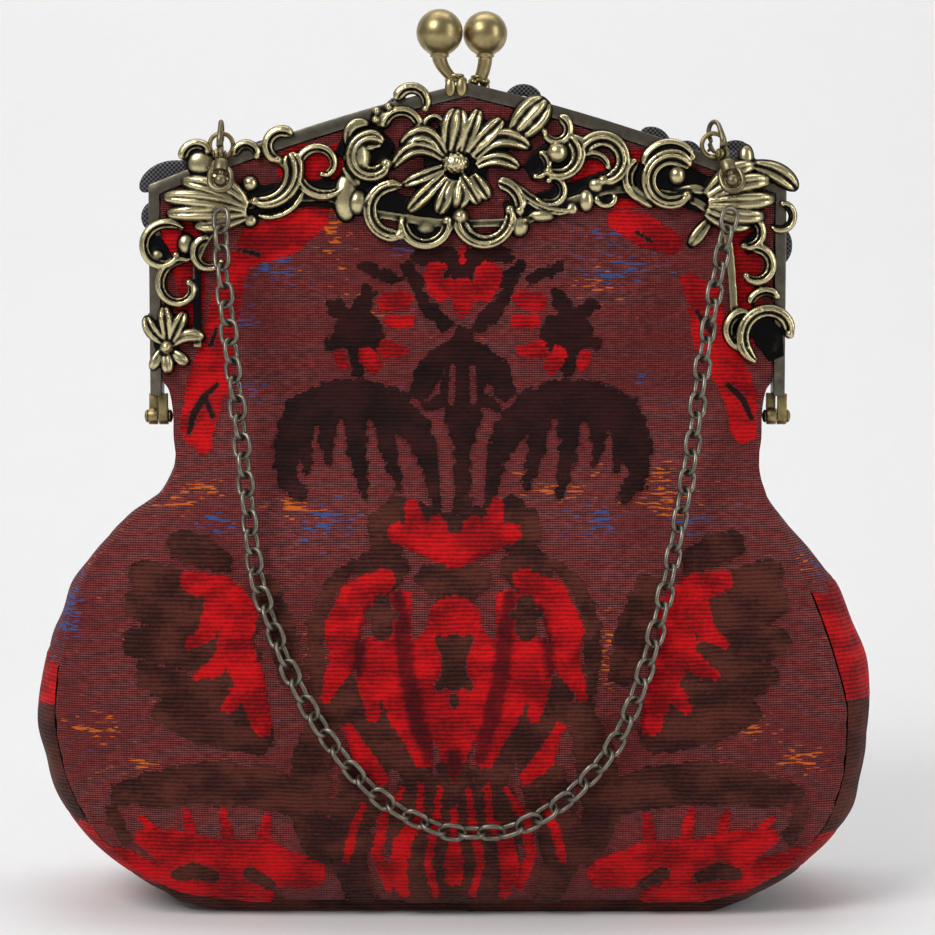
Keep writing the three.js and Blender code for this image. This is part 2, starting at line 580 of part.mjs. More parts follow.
// Sections of a panel from the floor up to the hinges. up is a share of HINGE_HEIGHT; left and right,
// where the seam lies, of HALF_WIDTH; deep, of the seam, of HALF_DEPTH; crown, of CROWN; swellLeft and
// swellRight, of the gusset past the seam, of GUSSET_SWELL.
const SEAM_UP = SEAM_HEIGHT / HINGE_HEIGHT;
const SECTIONS = [
  { up: SEAM_UP, left: 0.56, right: 0.6, deep: 0.8, crown: 0.1, swellLeft: 0.643, swellRight: 0.643 },
  { up: 0.058, left: 0.73, right: 0.71, deep: 0.86, crown: 0.25, swellLeft: 0.7, swellRight: 0.7 },
  { up: 0.118, left: 0.86, right: 0.82, deep: 0.94, crown: 0.5, swellLeft: 0.75, swellRight: 0.8 },
  { up: 0.21, left: 0.965, right: 0.915, deep: 1, crown: 0.8, swellLeft: 0.85, swellRight: 0.95 },
  { up: 0.32, left: 1.022, right: 0.953, deep: 1.01, crown: 0.97, swellLeft: 0.95, swellRight: 1.05 },
  { up: 0.42, left: 1.04, right: 0.958, deep: 1, crown: 1, swellLeft: 0.95, swellRight: 1.15 },
  { up: 0.52, left: 1.03, right: 0.93, deep: 0.96, crown: 1, swellLeft: 0.8, swellRight: 1.25 },
  { up: 0.62, left: 1.003, right: 0.888, deep: 0.89, crown: 0.92, swellLeft: 0.55, swellRight: 1.15 },
  { up: 0.71, left: 0.955, right: 0.842, deep: 0.79, crown: 0.82, swellLeft: 0.35, swellRight: 0.8 },
  { up: 0.785, left: 0.87, right: 0.8, deep: 0.67, crown: 0.72, swellLeft: 0.3, swellRight: 0.35 },
  { up: 0.85, left: 0.785, right: 0.765, deep: 0.53, crown: 0.66, swellLeft: 0.15, swellRight: 0.12 },
  { up: 0.905, left: 0.75, right: 0.748, deep: 0.41, crown: 0.62, swellLeft: 0.1, swellRight: 0.1 },
  { up: GUSSET_TOP, left: 0.76, right: 0.76, deep: 0.28, crown: 0.6, swellLeft: 0.06, swellRight: 0.06 },
  { up: 1, left: 0.763, right: 0.763, deep: 0.2, crown: 0.6, swellLeft: 0, swellRight: 0 },
];

// Sections between the hinges and the rails: up is a share of that height, inset the play beside the
// hinges in millimetres, crown a share of CROWN, fold the share of a fold's height that is left
const MOUTH_SECTIONS = [
  { up: 0.12, inset: HINGE_PLAY, crown: 0.5, fold: 0.9 },
  { up: 0.17, inset: 0, crown: 0.44, fold: 0.8 },
  { up: 0.32, inset: 0, crown: 0.24, fold: 0.4 },
  { up: 0.47, inset: 0, crown: 0, fold: 0 },
  { up: 0.65, inset: 0, crown: 0, fold: 0 },
  { up: 0.83, inset: 0, crown: 0, fold: 0 },
  { up: 1, inset: 0, crown: 0, fold: 0 },
];

// Folds that fall from the frame: at, where, and wide, a share of HALF_WIDTH; deep, a share of CROWN
const FOLDS = [
  { at: -0.62, lean: 0.12, wide: 0.07, deep: 0.2 },
  { at: -0.36, lean: 0.05, wide: 0.08, deep: 0.14 },
  { at: -0.1, lean: 0, wide: 0.09, deep: 0.1 },
  { at: 0.2, lean: -0.03, wide: 0.08, deep: 0.12 },
  { at: 0.46, lean: -0.08, wide: 0.08, deep: 0.16 },
  { at: 0.66, lean: -0.12, wide: 0.07, deep: 0.18 },
];

const COLUMNS = [0, 0.04, 0.13, 0.25, 0.38, 0.5, 0.62, 0.75, 0.87, 0.96, 1];
const mouthDepth = Math.abs(reliefBase) - CLEARANCE;

function bell(distance, width) {
  return Math.exp(-((distance / width) ** 2));
}

// How far the folds lift the cloth: strongest under the frame, gone at the widest part of the bag
function foldLift(x, z) {
  const up = z / HINGE_HEIGHT;
  const fade = bell(up - 0.95, 0.3);
  const lift = FOLDS.reduce((sum, { at, lean, wide, deep }) => {
    const middle = (at - lean * (1 - up) * 2) * HALF_WIDTH;
    return sum + deep * bell(x - middle, wide * HALF_WIDTH);
  }, 0);
  return lift * fade * CROWN;
}

// One row of a panel, as x, z and depth, from its left seam to its right one
function panelRow(section, mouth) {
  return COLUMNS.map((share) => {
    if (mouth) {
      const side = legInside - CLEARANCE - section.inset;
      const x = THREE.MathUtils.lerp(-side, side, share);
      const top = gable(x) - RAIL_HEIGHT - CLEARANCE;
      const z = THREE.MathUtils.lerp(HINGE_HEIGHT, top, section.up);
      const across = Math.min(Math.abs(x) / (0.84 * side), 1);
      const swell = section.crown * CROWN * (1 - across ** 2) ** 1.5;
      return { x, z, depth: mouthDepth + swell + foldLift(x, z) * section.fold * (1 - across ** 4) };
    }
    const x = THREE.MathUtils.lerp(-section.left, section.right, share) * HALF_WIDTH;
    const z = section.up * HINGE_HEIGHT;
    const across = 2 * share - 1;
    const swell = section.crown * CROWN * (1 - across ** 2) ** 0.75;
    const depth = Math.max(section.deep * HALF_DEPTH, mouthDepth);
    return { x, z, depth: depth + swell + foldLift(x, z) * (1 - across ** 4) };
  });
}

const PANEL_ROWS = [
  ...SECTIONS.map((section) => panelRow(section, false)),
  ...MOUTH_SECTIONS.map((section) => panelRow(section, true)),
];

function panel(side) {
  const face = (inset) =>
    PANEL_ROWS.map((row) => row.map(({ x, z, depth }) => new THREE.Vector3(x, side * (depth - inset), z)));
  return side < 0 ? wall(face(0), face(CLOTH)) : wall(face(CLOTH), face(0));
}

// The gusset runs down the left seam, along the floor and up the right seam. swell is its profile at the
// sides, floor under the bag, where the weight of the bag presses it flat.
const GUSSET_PROFILE = [
  { across: -1, swell: 0, floor: 0 },
  { across: -0.84, swell: 0.55, floor: 1 },
  { across: -0.45, swell: 1, floor: 1 },
  { across: 0.45, swell: 1, floor: 1 },
  { across: 0.84, swell: 0.55, floor: 1 },
  { across: 1, swell: 0, floor: 0 },
];

function gusset() {
  const sides = SECTIONS.filter(({ up }) => up <= GUSSET_TOP);
  const station = (section, side) => ({
    x: side * (side < 0 ? section.left : section.right) * HALF_WIDTH,
    z: section.up * HINGE_HEIGHT,
    deep: section.deep * HALF_DEPTH,
    swell: (side < 0 ? section.swellLeft : section.swellRight) * GUSSET_SWELL,
  });
  const left = sides.map((section) => station(section, -1)).reverse();
  const right = sides.map((section) => station(section, 1));
  const floor = [0.15, 0.5, 0.85].map((share) => ({
    ...left.at(-1),
    x: THREE.MathUtils.lerp(left.at(-1).x, right[0].x, share),
    swell: SEAM_HEIGHT,
    flat: true,
  }));
  const path = [...left, ...floor, ...right];
  const rows = (inset) =>
    path.map((point, i) => {
      const before = path[Math.max(i - 1, 0)];
      const after = path[Math.min(i + 1, path.length - 1)];
      const out = new THREE.Vector2(before.z - after.z, after.x - before.x).normalize().negate();
      const half = point.deep - CLOTH - CLEARANCE;
      return GUSSET_PROFILE.map(({ across, swell, floor }) => {
        const reach = point.swell * (point.flat ? floor : swell) - inset;
        return new THREE.Vector3(
          point.x + out.x * reach,
          across * half,
          Math.max(point.z + out.y * reach, inset),
        );
      });
    });
  return wall(rows(0), rows(CLOTH));
}

// A clasp is drawn with the eye's wire at its origin, its hook over it and its lever on the left
const archX = CLAW_WIDTH / 2 - EYE_WIRE - 2.4 * CLEARANCE;
const archZ = CLEARANCE;
const pinZ = -CLAW_LENGTH;
const leverX = archX - CLAW_WIDTH / 2;
const tipZ = archZ - CLAW_WIDTH / 2 + CLEARANCE;
const bossZ = pinZ - PLATE_RADIUS - CLEARANCE - BOSS_LENGTH / 2;
const knobZ = bossZ - BOSS_LENGTH / 2 - CLEARANCE - KNOB_RADIUS;

// A rod on the lever's pin axis
function pin(radius, front, back, sides = 6) {
  const from = new THREE.Vector3(PIN_OFFSET, front, pinZ);
  const to = new THREE.Vector3(PIN_OFFSET, back, pinZ);
  return rod(radius, from, to, sides);
}

// The hole that the lever's pin goes through
function pinBore() {
  return solid(pin(PIN_RADIUS + CLEARANCE, -CLAW_THICKNESS, CLAW_THICKNESS));
}

function claspBody() {
  const half = CLAW_THICKNESS / 2;
  const reach = CLAW_WIDTH / 2 + CLAW_WIRE / 2;
  const hook = [[leverX - CLAW_WIRE / 2, tipZ]];
  for (let degrees = 180; degrees >= 0; degrees -= 45) {
    hook.push([archX + reach * Math.cos(radians(degrees)), archZ + reach * Math.sin(radians(degrees))]);
  }
  hook.push([archX + reach, pinZ + PLATE_RADIUS]);
  hook.push([archX + reach, pinZ + PLATE_RADIUS / 2]);
  const claw = bar(hook, CLAW_WIRE, -half, half);
  const plate = pin(PLATE_RADIUS, 0, half, 10);
  const postTop = new THREE.Vector3(PIN_OFFSET, POST_OFFSET, pinZ - PLATE_RADIUS * 0.9);
  const postEnd = new THREE.Vector3(PIN_OFFSET, POST_OFFSET, knobZ);
  const post = rod(POST_RADIUS, postTop, postEnd, 6);
  const knob = new THREE.SphereGeometry(KNOB_RADIUS, 8, 4);
  knob.translate(PIN_OFFSET, POST_OFFSET, knobZ);
  return geometryOf(join([claw, plate, post, knob]).subtract(pinBore()));
}

// The loop that turns on the post under the plate: an oval wire with a bored boss at its top
function claspLoop() {
  const halfWidth = LOOP_WIDTH / 2 - LOOP_WIRE;
  const halfLength = LOOP_LENGTH / 2 - LOOP_WIRE;
  const oval = new THREE.TorusGeometry(halfWidth, LOOP_WIRE, 4, 10);
  oval.scale(1, halfLength / halfWidth, 1);
  oval.rotateX(Math.PI / 2);
  oval.translate(0, 0, bossZ - halfLength);
  const boss = rod(BOSS_RADIUS, ...postSpan(BOSS_LENGTH), 10);
  const bore = rod(POST_RADIUS + CLEARANCE, ...postSpan(2 * BOSS_LENGTH), 8);
  return geometryOf(join([oval, boss]).subtract(solid(bore)));
}

// The two ends of a length of the post's axis, in the middle of the boss
function postSpan(length) {
  return [new THREE.Vector3(0, 0, bossZ - length / 2), new THREE.Vector3(0, 0, bossZ + length / 2)];
}

function claspLever() {
  const back = -CLEARANCE;
  const front = back - LEVER_THICKNESS;
  const outside = leverX - CLAW_WIRE;
  const arm = [
    [PIN_OFFSET - 0.8 * HUB_RADIUS, pinZ],
    [outside, pinZ + CLAW_LENGTH * 0.45],
    [outside, tipZ - 5 * CLEARANCE],
    [leverX, tipZ - 2 * CLEARANCE],
    [leverX, pinZ + CLAW_LENGTH * 0.5],
    [PIN_OFFSET + 0.6 * HUB_RADIUS, pinZ],
  ];
  const thumb = [
    [outside - CLAW_WIRE / 2, pinZ + CLAW_LENGTH * 0.46],
    [outside - CLAW_WIRE / 2, pinZ + CLAW_LENGTH * 0.56],
    [outside + CLAW_WIRE / 2, pinZ + CLAW_LENGTH * 0.56],
    [outside + CLAW_WIRE / 2, pinZ + CLAW_LENGTH * 0.38],
  ];
  const hub = pin(HUB_RADIUS, front, back, 8);
  const flats = [arm, thumb].map((points) => slab(outline(points), front, back));
  return geometryOf(join([hub, ...flats]).subtract(pinBore()));
}

function claspPin() {
  const front = -2 * CLEARANCE - LEVER_THICKNESS;
  const back = CLAW_THICKNESS / 2 + CLEARANCE;
  const headRadius = PIN_RADIUS + 2 * CLEARANCE;
  return geometryOf(
    join([
      pin(PIN_RADIUS, front - PIN_HEAD_WIDTH / 2, back + PIN_HEAD_WIDTH / 2),
      pin(headRadius, front - PIN_HEAD_WIDTH, front),
      pin(headRadius, back, back + PIN_HEAD_WIDTH),
    ]),
  );
}

// The strap lies in the front: its route from the left ring to the right one as seen, along as a share
// of the place of an eye, up as a share of the height of the chain's top
const CHAIN_ROUTE = [
  { along: -0.9937, up: 1 },
  { along: -0.9858, up: 0.92 },
  { along: -0.9638, up: 0.8488 },
  { along: -0.9354, up: 0.7722 },
  { along: -0.8961, up: 0.6681 },
  { along: -0.8709, up: 0.5915 },
  { along: -0.8268, up: 0.4819 },
  { along: -0.778, up: 0.4326 },
  { along: -0.6803, up: 0.3505 },
  { along: -0.5102, up: 0.2519 },
  { along: -0.3402, up: 0.1873 },
  { along: -0.1984, up: 0.1566 },
  { along: -0.0409, up: 0.138 },
  { along: 0.1181, up: 0.138 },
  { along: 0.2142, up: 0.1479 },
  { along: 0.3528, up: 0.1763 },
  { along: 0.4709, up: 0.2141 },
  { along: 0.5669, up: 0.2563 },
  { along: 0.6409, up: 0.3089 },
  { along: 0.7181, up: 0.3877 },
  { along: 0.7984, up: 0.4962 },
  { along: 0.8913, up: 0.6627 },
  { along: 0.9323, up: 0.7629 },
  { along: 0.9811, up: 0.8598 },
  { along: 1.0173, up: 0.92 },
  { along: 1.0693, up: 1 },
];

// The depth of the front panel at a point, from its rows
function panelDepth(x, z) {
  const heightAt = (row) => {
    const k = row.findIndex((point) => point.x >= x);
    const j = Math.min(Math.max(k, 1), row.length - 1);
    const share = THREE.MathUtils.clamp((x - row[j - 1].x) / (row[j].x - row[j - 1].x), 0, 1);
    return {
      z: THREE.MathUtils.lerp(row[j - 1].z, row[j].z, share),
      depth: THREE.MathUtils.lerp(row[j - 1].depth, row[j].depth, share),
    };
  };
  const heights = PANEL_ROWS.map(heightAt);
  const k = Math.max(heights.findIndex((height) => height.z >= z), 1);
  const share = (z - heights[k - 1].z) / (heights[k].z - heights[k - 1].z);
  return THREE.MathUtils.lerp(heights[k - 1].depth, heights[k].depth, THREE.MathUtils.clamp(share, 0, 1));
}

// The chain hangs free from in front of the relief to the swell of the bag, and lies on it below
const LANDING_UP = 0.34;

function chain() {
  const radius = CHAIN_WIDTH / 2;
  const highestCrest = Math.max(...[...LEAVES, ...SCROLLS, ...BUDS].map(({ rise }) => rise));
  const topDepth = Math.abs(reliefBase) + highestCrest * RELIEF + CLEARANCE + radius;
  const topZ = eyeZ - CHAIN_DROP;
  const landing = panelDepth(0, LANDING_UP * topZ) + radius + CLEARANCE;
  const points = CHAIN_ROUTE.map(({ along, up }) => {
    const x = along * eyeX;
    const z = up * topZ;
    const share = Math.max((up - LANDING_UP) / (1 - LANDING_UP), 0);
    const hanging = up > LANDING_UP ? THREE.MathUtils.lerp(landing, topDepth, share) : 0;
    const resting = panelDepth(x, z) + radius + 2 * CLEARANCE;
    return new THREE.Vector3(x, -Math.max(hanging, resting), z);
  });
  const section = new THREE.Shape().absarc(0, 0, radius, 0, 2 * Math.PI);
  const route = new THREE.CatmullRomCurve3(points);
  return new THREE.ExtrudeGeometry(section, { steps: 30, extrudePath: route, curveSegments: 4 });
}

const bag = new THREE.Group();

function add(parent, name, geometry, material) {
  const mesh = new THREE.Mesh(geometry, material);
  mesh.name = name;
  parent.add(mesh);
  return mesh;
}

add(bag, 'front_panel', panel(-1), velvet);
add(bag, 'back_panel', panel(1), velvet);
add(bag, 'gusset', gusset(), velvet);
add(bag, 'front_frame', frameHalfBody(true), brass);
add(bag, 'back_frame', frameHalfBody(false), brass).rotation.z = Math.PI;
add(bag, 'front_kiss_lock', kissLock(-1, -BALL_SPACING / 2 - BALL_OFFSET, FRONT_BALL_RADIUS), brass);
add(bag, 'back_kiss_lock', kissLock(1, BALL_SPACING / 2 - BALL_OFFSET, BACK_BALL_RADIUS), brass);

for (const [name, side] of [['left', -1], ['right', 1]]) {
  add(bag, `${name}_hinge_rivet`, hingeRivet(), brass).position.set(side * jointPlane, 0, HINGE_HEIGHT);
}

// Each clasp hangs over the top of its eye and leans forward; the left one is seen edge on
const claspTurns = [
  { name: 'left', side: -1, turn: -90 },
  { name: 'right', side: 1, turn: -60 },
];
for (const { name, side, turn } of claspTurns) {
  const clasp = new THREE.Group();
  clasp.position.set(side * eyeX, eyeY, eyeZ + EYE_RADIUS);
  clasp.rotation.set(0, 0, radians(turn));
  const tilted = new THREE.Group();
  tilted.rotation.y = radians(-CLASP_TILT);
  clasp.add(tilted);
  add(tilted, `${name}_clasp_body`, claspBody(), brass);
  add(tilted, `${name}_clasp_lever`, claspLever(), brass);
  add(tilted, `${name}_clasp_rivet`, claspPin(), brass);
  const loop = add(tilted, `${name}_clasp_loop`, claspLoop(), brass);
  loop.position.set(PIN_OFFSET, POST_OFFSET, 0);
  loop.rotation.z = radians(-turn);
  bag.add(clasp);
}

add(bag, 'chain', chain(), gunmetal);

export default bag;
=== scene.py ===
import math

import bpy
import numpy as np
from mathutils import Matrix, Vector


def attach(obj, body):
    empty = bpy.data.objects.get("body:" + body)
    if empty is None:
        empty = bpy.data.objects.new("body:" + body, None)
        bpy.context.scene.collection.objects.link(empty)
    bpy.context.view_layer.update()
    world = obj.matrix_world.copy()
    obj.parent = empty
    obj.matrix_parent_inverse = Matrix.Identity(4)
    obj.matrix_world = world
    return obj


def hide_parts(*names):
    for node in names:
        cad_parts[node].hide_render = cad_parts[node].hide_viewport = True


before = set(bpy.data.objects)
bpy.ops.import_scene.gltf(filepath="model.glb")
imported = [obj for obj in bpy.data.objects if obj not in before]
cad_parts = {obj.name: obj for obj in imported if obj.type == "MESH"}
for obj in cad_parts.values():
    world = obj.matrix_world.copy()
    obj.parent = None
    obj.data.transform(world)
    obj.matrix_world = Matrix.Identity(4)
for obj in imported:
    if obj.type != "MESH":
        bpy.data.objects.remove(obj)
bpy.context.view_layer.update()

MM = 0.001  # a millimetre in metres
FRAME_SPAN = 165
PIXEL = FRAME_SPAN / 641  # millimetres of the object in a pixel of the photograph
MIDDLE_PIXEL = 467  # across the photograph, at the middle of the frame
FLOOR_PIXEL = 912  # down the photograph, where the bag stands

# The frame and the bag, in millimetres, as in the solids
FRAME_HALF = FRAME_SPAN / 2
HINGE_HEIGHT = 127
LEG_HEIGHT = 60
PEAK_HEIGHT = 86.2
GABLE_BOW = 1.8
RAIL_HEIGHT = 3.5
LEG_WIDTH = 2.9
RAIL_FRONT = 3.9
RELIEF_BASE = 3.6
CHART_RISE = 2.2
HALVES_GAP = 0.4
CLEARANCE = 0.3
HALF_WIDTH = 100
HALF_DEPTH = 30
CROWN = 8
GUSSET_SWELL = 7
SEAM_HEIGHT = 4.5
CLOTH = 1.6
HINGE_PLAY = 1.6
GUSSET_TOP = 0.965
MOUTH_DEPTH = RELIEF_BASE - CLEARANCE
JOINT_PLANE = 80.75  # between the two knuckles of a hinge
KNUCKLE_RADIUS = 2.2
KNUCKLE_WIDTH = 2.4
LUG_HEIGHT = 6
EYE_X = 63.5
EYE_RISE = 2.9
EYE_RADIUS = 3
EYE_WIRE = 0.6
CASTING_TRIANGLES = 190000  # of each half of the frame
CASTING_VOXEL = 0.33
PILE = 0.75  # height of the cut pile over the ground

# Spacings of what repeats in the materials, in metres
THREAD_PITCH = 0.00056
WARP_PITCH = 0.0007
RIB_PITCH = 0.00105
KNURL_PITCH = 0.0012


# Meshes from arrays


def mesh_object(name, points, faces, material, attributes=None):
    """A smooth mesh object from points in millimetres."""
    mesh = bpy.data.meshes.new(name)
    mesh.from_pydata((np.asarray(points, float) * MM).tolist(), [], [list(map(int, f)) for f in faces])
    mesh.update()
    mesh.shade_smooth()
    for key, values in (attributes or {}).items():
        layer = mesh.attributes.new(key, "FLOAT", "POINT")
        layer.data.foreach_set("value", np.asarray(values, np.float32))
    obj = bpy.data.objects.new(name, mesh)
    bpy.context.scene.collection.objects.link(obj)
    if material:
        mesh.materials.append(material)
    return obj


def grid_faces(rows, columns):
    i, j = np.meshgrid(np.arange(rows - 1), np.arange(columns - 1), indexing="ij")
    a = (i * columns + j).ravel()
    return np.stack([a, a + 1, a + columns + 1, a + columns], 1)


def loft(rings):
    """A closed shell through rings of points, with a fan over both ends."""
    rings = np.asarray(rings, float)
    count, size = rings.shape[:2]
    points = rings.reshape(-1, 3)
    faces = []
    for i in range(count - 1):
        for j in range(size):
            k = (j + 1) % size
            faces.append((i * size + j, i * size + k, (i + 1) * size + k, (i + 1) * size + j))
    middle = [rings[0].mean(0), rings[-1].mean(0)]
    first, last = len(points), len(points) + 1
    base = (count - 1) * size
    for j in range(size):
        k = (j + 1) % size
        faces.append((first, k, j))
        faces.append((last, base + j, base + k))
    return np.vstack([points, middle]), faces


def ball(centre, radii, columns=24, rows=14):
    """A closed ellipsoid."""
    points = [np.add(centre, [0, 0, -radii[2]])]
    for i in range(1, rows):
        lift = -math.pi / 2 + math.pi * i / rows
        for j in range(columns):
            turn = 2 * math.pi * j / columns
            offset = [
                radii[0] * math.cos(lift) * math.cos(turn),
                radii[1] * math.cos(lift) * math.sin(turn),
                radii[2] * math.sin(lift),
            ]
            points.append(np.add(centre, offset))
    points.append(np.add(centre, [0, 0, radii[2]]))
    top = len(points) - 1
    faces = []
    for j in range(columns):
        k = (j + 1) % columns
        faces.append((0, 1 + k, 1 + j))
        faces.append((top, top - columns + j, top - columns + k))
        for i in range(rows - 2):
            a = 1 + i * columns
            faces.append((a + j, a + k, a + columns + k, a + columns + j))
    return np.array(points), faces


def together(shells):
    points, faces, start = [], [], 0
    for shell_points, shell_faces in shells:
        points.append(shell_points)
        faces.extend([tuple(v + start for v in face) for face in shell_faces])
        start += len(shell_points)
    return np.vstack(points), faces


def outward(obj):
    """Turns every face of a closed mesh outward."""
    activate(obj)
    bpy.ops.object.mode_set(mode="EDIT")
    bpy.ops.mesh.select_all(action="SELECT")
    bpy.ops.mesh.normals_make_consistent(inside=False)
    bpy.ops.object.mode_set(mode="OBJECT")
    return obj


def activate(obj):
    bpy.ops.object.select_all(action="DESELECT")
    obj.select_set(True)
    bpy.context.view_layer.objects.active = obj


def apply_modifier(obj, kind, **settings):
    activate(obj)
    modifier = obj.modifiers.new(kind.title(), kind)
    for key, value in settings.items():
        setattr(modifier, key, value)
    bpy.ops.object.modifier_apply(modifier=modifier.name)
    return obj


def smooth_table(at, rows, query):
    """Values between the rows of a table, smooth and without overshoot."""
    at = np.asarray(at, float)
    rows = np.asarray(rows, float)
    shape = (-1,) + (1,) * (rows.ndim - 1)
    step = np.diff(at).reshape(shape)
    secant = np.diff(rows, axis=0) / step
    slope = np.zeros_like(rows)
    same = secant[1:] * secant[:-1] > 0
    total = secant[1:] + secant[:-1]
    slope[1:-1] = np.where(same, 2 * secant[1:] * secant[:-1] / np.where(same, total, 1), 0)
    slope[0], slope[-1] = secant[0], secant[-1]
    query = np.clip(query, at[0], at[-1])
    k = np.clip(np.searchsorted(at, query, side="right") - 1, 0, len(at) - 2)
    h = (at[k + 1] - at[k]).reshape(shape)
    t = ((query - at[k]) / (at[k + 1] - at[k])).reshape(shape)
    return (
        (2 * t**3 - 3 * t**2 + 1) * rows[k]
        + (t**3 - 2 * t**2 + t) * h * slope[k]
        + (3 * t**2 - 2 * t**3) * rows[k + 1]
        + (t**3 - t**2) * h * slope[k + 1]
    )


def ripple(x, z, size, seed):
    """A smooth uneven field from -1 to 1 with lumps of about a size."""
    total = 0
    for k in range(6):
        turn = seed * 1.7 + k * 2.399
        pace = (0.75 + 0.13 * k) * 2 * math.pi / size
        total = total + np.sin((x * math.cos(turn) + z * math.sin(turn)) * pace + seed * (k + 1) * 1.31)
    return total / 3.2


def gable(x):
    along = 1 - np.minimum(np.abs(x) / FRAME_HALF, 1)
    bow = GABLE_BOW * 4 * along * (1 - along)
    return HINGE_HEIGHT + LEG_HEIGHT + (PEAK_HEIGHT - LEG_HEIGHT) * along + bow


# The cloth: the same sections as the solids', with rows between them

# up, left, right, deep, crown, swell of the gusset at the left and at the right
SECTIONS = [
    (SEAM_HEIGHT / HINGE_HEIGHT, 0.56, 0.6, 0.8, 0.1, 0.643, 0.643),
    (0.058, 0.73, 0.71, 0.86, 0.25, 0.7, 0.7),
    (0.118, 0.86, 0.82, 0.94, 0.5, 0.75, 0.8),
    (0.21, 0.965, 0.915, 1, 0.8, 0.85, 0.95),
    (0.32, 1.022, 0.953, 1.01, 0.97, 0.95, 1.05),
    (0.42, 1.04, 0.958, 1, 1, 0.95, 1.15),
    (0.52, 1.03, 0.93, 0.96, 1, 0.8, 1.25),
    (0.62, 1.003, 0.888, 0.89, 0.92, 0.55, 1.15),
    (0.71, 0.955, 0.842, 0.79, 0.82, 0.35, 0.8),
    (0.785, 0.87, 0.8, 0.67, 0.72, 0.3, 0.35),
    (0.85, 0.785, 0.765, 0.53, 0.66, 0.15, 0.12),
    (0.905, 0.75, 0.748, 0.41, 0.62, 0.1, 0.1),
    (GUSSET_TOP, 0.76, 0.76, 0.28, 0.6, 0.06, 0.06),
    (1, 0.763, 0.763, 0.2, 0.6, 0, 0),
]
# up, inset, crown, share of a fold's height that is left
MOUTH_SECTIONS = [
    (0.12, HINGE_PLAY, 0.5, 0.9),
    (0.17, 0, 0.44, 0.8),
    (0.32, 0, 0.24, 0.4),
    (0.47, 0, 0, 0),
    (0.65, 0, 0, 0),
    (0.83, 0, 0, 0),
    (1, 0, 0, 0),
]
# at, lean, wide, deep
FOLDS = [
    (-0.62, 0.12, 0.07, 0.2),
    (-0.36, 0.05, 0.08, 0.14),
    (-0.1, 0, 0.09, 0.1),
    (0.2, -0.03, 0.08, 0.12),
    (0.46, -0.08, 0.08, 0.16),
    (0.66, -0.12, 0.07, 0.18),
]


def fold_lift(x, z):
    up = z / HINGE_HEIGHT
    fade = np.exp(-(((up - 0.95) / 0.3) ** 2))
    total = 0
    for at, lean, wide, deep in FOLDS:
        middle = (at - lean * (1 - up) * 2) * HALF_WIDTH
        total = total + deep * np.exp(-(((x - middle) / (wide * HALF_WIDTH)) ** 2))
    return total * fade * CROWN


def panel_rows(share):
    """The rows of a panel as x, z and depth, at each share of the way across."""
    across = 2 * share - 1
    rows = []
    for up, left, right, deep, crown, *_ in SECTIONS:
        x = (-left + (left + right) * share) * HALF_WIDTH
        z = np.full_like(x, up * HINGE_HEIGHT)
        depth = max(deep * HALF_DEPTH, MOUTH_DEPTH) + crown * CROWN * np.maximum(1 - across**2, 0) ** 0.75
        rows.append(np.stack([x, z, depth + fold_lift(x, z) * (1 - across**4)], 1))
    for up, inset, crown, fold in MOUTH_SECTIONS:
        side = FRAME_HALF - LEG_WIDTH - CLEARANCE - inset
        x = across * side
        top = gable(x) - RAIL_HEIGHT - CLEARANCE
        z = HINGE_HEIGHT + (top - HINGE_HEIGHT) * up
        reach = np.minimum(np.abs(x) / (0.84 * side), 1)
        swell = crown * CROWN * (1 - reach**2) ** 1.5
        rows.append(np.stack([x, z, MOUTH_DEPTH + swell + fold_lift(x, z) * fold * (1 - across**4)], 1))
    return np.array(rows)


def panel_grid(rows, columns):
    share = np.linspace(0, 1, columns)
    table = panel_rows(share)
    middle = table[:, columns // 2, 1]
    query = np.linspace(middle[0], middle[-1], rows)
    return smooth_table(middle, table, query)


DEPTH_GRID = panel_grid(240, 161)


def panel_depth(x, z):
    """The depth of the front of the bag behind a point seen from the front."""
    gap = (DEPTH_GRID[..., 0] - x) ** 2 + (DEPTH_GRID[..., 1] - z) ** 2
    near = np.argsort(gap.ravel())[:4]
    weight = 1 / (gap.ravel()[near] + 0.01)
    return float((DEPTH_GRID[..., 2].ravel()[near] * weight).sum() / weight.sum())


# The woven pattern, charted in the photograph's pixels

TOP_AXIS = 462
LOW_AXIS = 454
SIDE_AXIS = 456.5

# Strokes: each a line of points, x, y and half width
BROWN_TOP = [
    [(418, 256, 8), (440, 255, 10), (462, 262, 13)],
    [(452, 258, 8), (462, 284, 9)],
    [(364, 268, 6), (392, 280, 7)],
    [(404, 266, 6), (417, 283, 9)],
    [(415, 290, 5), (430, 312, 9), (445, 326, 8)],
    [(352, 330, 20), (360, 336, 24)],
    [(356, 320, 10), (366, 294, 8)],
    [(352, 322, 10), (332, 306, 8)],
    [(350, 336, 10), (330, 345, 8)],
    [(356, 345, 10), (357, 372, 7)],
    [(462, 336, 10), (462, 362, 18), (462, 392, 24), (462, 420, 18), (462, 440, 12)],
    [(447, 352, 10), (428, 372, 14), (420, 392, 11)],
    [(445, 400, 9), (428, 408, 6)],
    [(462, 438, 10), (462, 470, 8), (462, 508, 10)],
    [(302, 492, 8), (288, 478, 10), (288, 445, 15), (300, 415, 18), (328, 402, 20), (360, 399, 20),
     (392, 408, 19), (416, 430, 15), (431, 462, 11), (438, 502, 6)],
    [(330, 412, 12), (326, 440, 8), (330, 462, 4)],
    [(356, 414, 13), (356, 446, 10), (366, 492, 5)],
    [(386, 418, 13), (388, 448, 9), (400, 486, 4)],
    [(306, 425, 10), (304, 450, 8), (310, 470, 4)],
]
